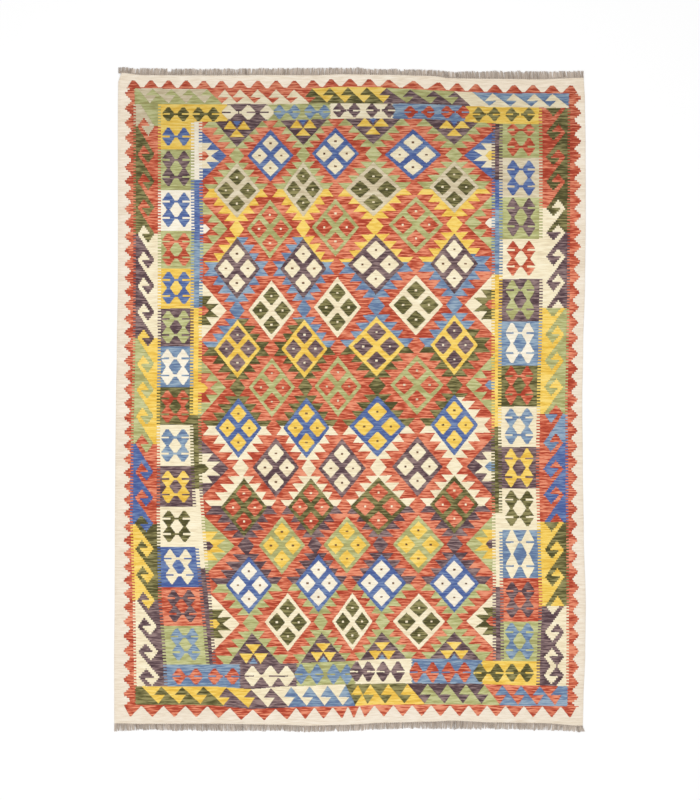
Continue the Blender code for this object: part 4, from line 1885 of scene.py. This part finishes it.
    def ribs(self, stitch_x: Value, stitch_y: Value) -> Value:
        """Shapes the weave: wefts that arch over one warp and dip under the next.

        It is the size of sin(pi (x + p / 2)) across, where p is 0 or 1 from one pass of weft to
        the next, times the roundness of the pass, the square root of the size of sin(pi passes y).

        Args:
            stitch_x: the place across, in stitches.
            stitch_y: the place down, in stitches.

        Returns:
            The height, 0 to 1.
        """
        passes = stitch_y * self.passes_a_stitch
        shift = (passes.floor() % 2.0) * 0.5
        over = ((stitch_x + shift) * np.pi).sine().size()
        roundness = (passes * np.pi).sine().size().maths("POWER", 0.5)
        return over * roundness


@dataclass(frozen=True)
class WarpEnds:
    """The finish of the fringes: undyed grey-brown wool, lighter and darker from thread to thread.

    The scales of the clouds and of the fibres are turns a metre across, along and up.
    """

    name: str = "warp_ends_wool"
    light: Triple = (220, 205, 190)
    dark: Triple = (136, 121, 108)
    roughness: float = 0.85
    roughness_range: float = 0.1
    cloud_scale: Triple = (60.0, 20.0, 1.0)
    cloud_weight: float = 0.5
    fibre_scale: Triple = (1500.0, 420.0, 1500.0)
    fibre_weight: float = 0.35
    fibre_depth: float = 0.0004

    def build(self) -> bpy.types.Material:
        """Returns the material."""
        graph = Graph(self.name)
        x, y, z = graph.place()
        clouds, fibres = (graph.noise(graph.join(x * across, y * along, z * up), 1.0, detail)
                          for (across, along, up), detail in ((self.cloud_scale, 2.0),
                                                              (self.fibre_scale, 3.0)))
        tone = (graph.attribute("shade") + (clouds - 0.5) * self.cloud_weight
                + (fibres - 0.5) * self.fibre_weight).clamped()
        colour = graph.mix(tone, linear(*self.dark), linear(*self.light))
        roughness = (fibres * self.roughness_range + self.roughness).clamped()
        graph.finish(colour, roughness, graph.bump(fibres, self.fibre_depth),
                     {"Sheen Weight": 0.15, "Sheen Roughness": 0.6, "Specular IOR Level": 0.15})
        return graph.material


@dataclass(frozen=True)
class PaleFloor:
    """The finish of the studio's floor: almost white, and slightly uneven."""

    name: str = "pale_floor"
    colour: Triple = (254, 254, 254)
    roughness: float = 0.7
    roughness_range: float = 0.05
    grain_scale: float = 40.0
    grain_depth: float = 0.0001

    def build(self) -> bpy.types.Material:
        """Returns the material."""
        graph = Graph(self.name)
        grain = graph.noise(graph.join(*graph.place()), self.grain_scale)
        graph.finish(linear(*self.colour), grain * self.roughness_range + self.roughness,
                     graph.bump(grain, self.grain_depth), {"Specular IOR Level": 0.1})
        return graph.material


@dataclass(frozen=True)
class Studio:
    """The plain pale floor, the soft light from above, and the camera straight overhead."""

    floor_half: float = 9.0
    floor_gap: float = 0.0002
    sky: float = 0.87
    lamp_power: float = 40.0
    lamp_size: float = 3.0
    lamp_place: Triple = (-0.3, -0.4, 3.9)
    focal: float = 0.120
    sensor: float = 0.036
    farthest: float = 100.0
    picture: tuple[int, int] = (700, 800)

    def build(self) -> None:
        """Sets the floor, the light, the camera and the plain view of colours."""
        self.floor()
        self.sky_light()
        self.lamp()
        self.camera()
        bpy.context.scene.view_settings.view_transform = "Standard"

    def floor(self) -> None:
        """Lays the floor just under the rug."""
        corners = [(x * self.floor_half, y * self.floor_half, -self.floor_gap)
                   for x, y in ((-1, -1), (1, -1), (1, 1), (-1, 1))]
        floor = new_mesh("studio_floor", np.array(corners), np.array([[0, 1, 2, 3]]))
        floor.data.materials.append(PaleFloor().build())

    def sky_light(self) -> None:
        """Lights the rug evenly from the whole sky."""
        world = bpy.data.worlds.new("soft_sky")
        world.use_nodes = True
        background = world.node_tree.nodes["Background"]
        background.inputs["Color"].default_value = (1.0, 1.0, 1.0, 1.0)
        background.inputs["Strength"].default_value = self.sky
        bpy.context.scene.world = world

    def lamp(self) -> None:
        """Lights the rug from one large, square lamp overhead."""
        light = bpy.data.lights.new("soft_lamp", "AREA")
        light.shape = "SQUARE"
        light.size = self.lamp_size
        light.energy = self.lamp_power
        lamp = bpy.data.objects.new("soft_lamp", light)
        bpy.context.scene.collection.objects.link(lamp)
        lamp.location = self.lamp_place
        lamp.rotation_euler = (-Vector(self.lamp_place)).to_track_quat("-Z", "Y").to_euler()

    def camera(self) -> None:
        """Looks straight down on the middle of the picture, from as far as frames the rug as there.

        The picture's longer side spans the sensor, so the distance is the height of the view
        times the focal length over the sensor.
        """
        width, height = self.picture
        lens = bpy.data.cameras.new("overhead")
        lens.lens = self.focal * MILLIMETRES
        lens.sensor_width = self.sensor * MILLIMETRES
        lens.clip_end = self.farthest
        camera = bpy.data.objects.new("overhead", lens)
        bpy.context.scene.collection.objects.link(camera)
        x = (width / 2.0 - CHART_MIDDLE[0]) * COUNT
        y = (CHART_MIDDLE[1] - height / 2.0) * COUNT
        camera.location = (x, y, height * COUNT * self.focal / self.sensor)
        bpy.context.scene.camera = camera


FOOT_WEAR = (Thinning(-0.131, 0.005, 0.35), Thinning(-0.062, 0.012, 0.75),
             Thinning(0.858, 0.010, 0.7))
HEAD_WEAR = (Thinning(-0.790, 0.020, 0.62), Thinning(0.232, 0.016, 0.8))


def main() -> None:
    """Builds the rug, its fringes and the studio, and reports each piece."""
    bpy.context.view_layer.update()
    nodes = frame["nodes"]
    outline = Outline.of_node(nodes["cloth"])

    cloth = Cloth(outline).build()
    cloth.data.materials.append(WovenWool().build())
    wool = WarpEnds().build()
    fringes = []
    for name, node, out, seed, worn in (
            ("kilim_fringe_foot", "fringe_foot", -1.0, 11, FOOT_WEAR),
            ("kilim_fringe_head", "fringe_head", 1.0, 12, HEAD_WEAR)):
        fringe = Fringe(name, nodes[node], outline, out, seed, worn).build()
        fringe.data.materials.append(wool)
        fringes.append((fringe, node))

    for piece, node, slot in ((cloth, "cloth", "kilim_weave"),
                              (*fringes[0], "warp_ends"), (*fringes[1], "warp_ends")):
        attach(piece, "root")
        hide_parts(node)
        log.info("%s: %d faces in place of %s", piece.name, len(piece.data.polygons), node)

    Studio().build()


if __name__ == "__main__":
    logging.basicConfig(level=logging.INFO, format="%(name)s %(message)s")
    main()
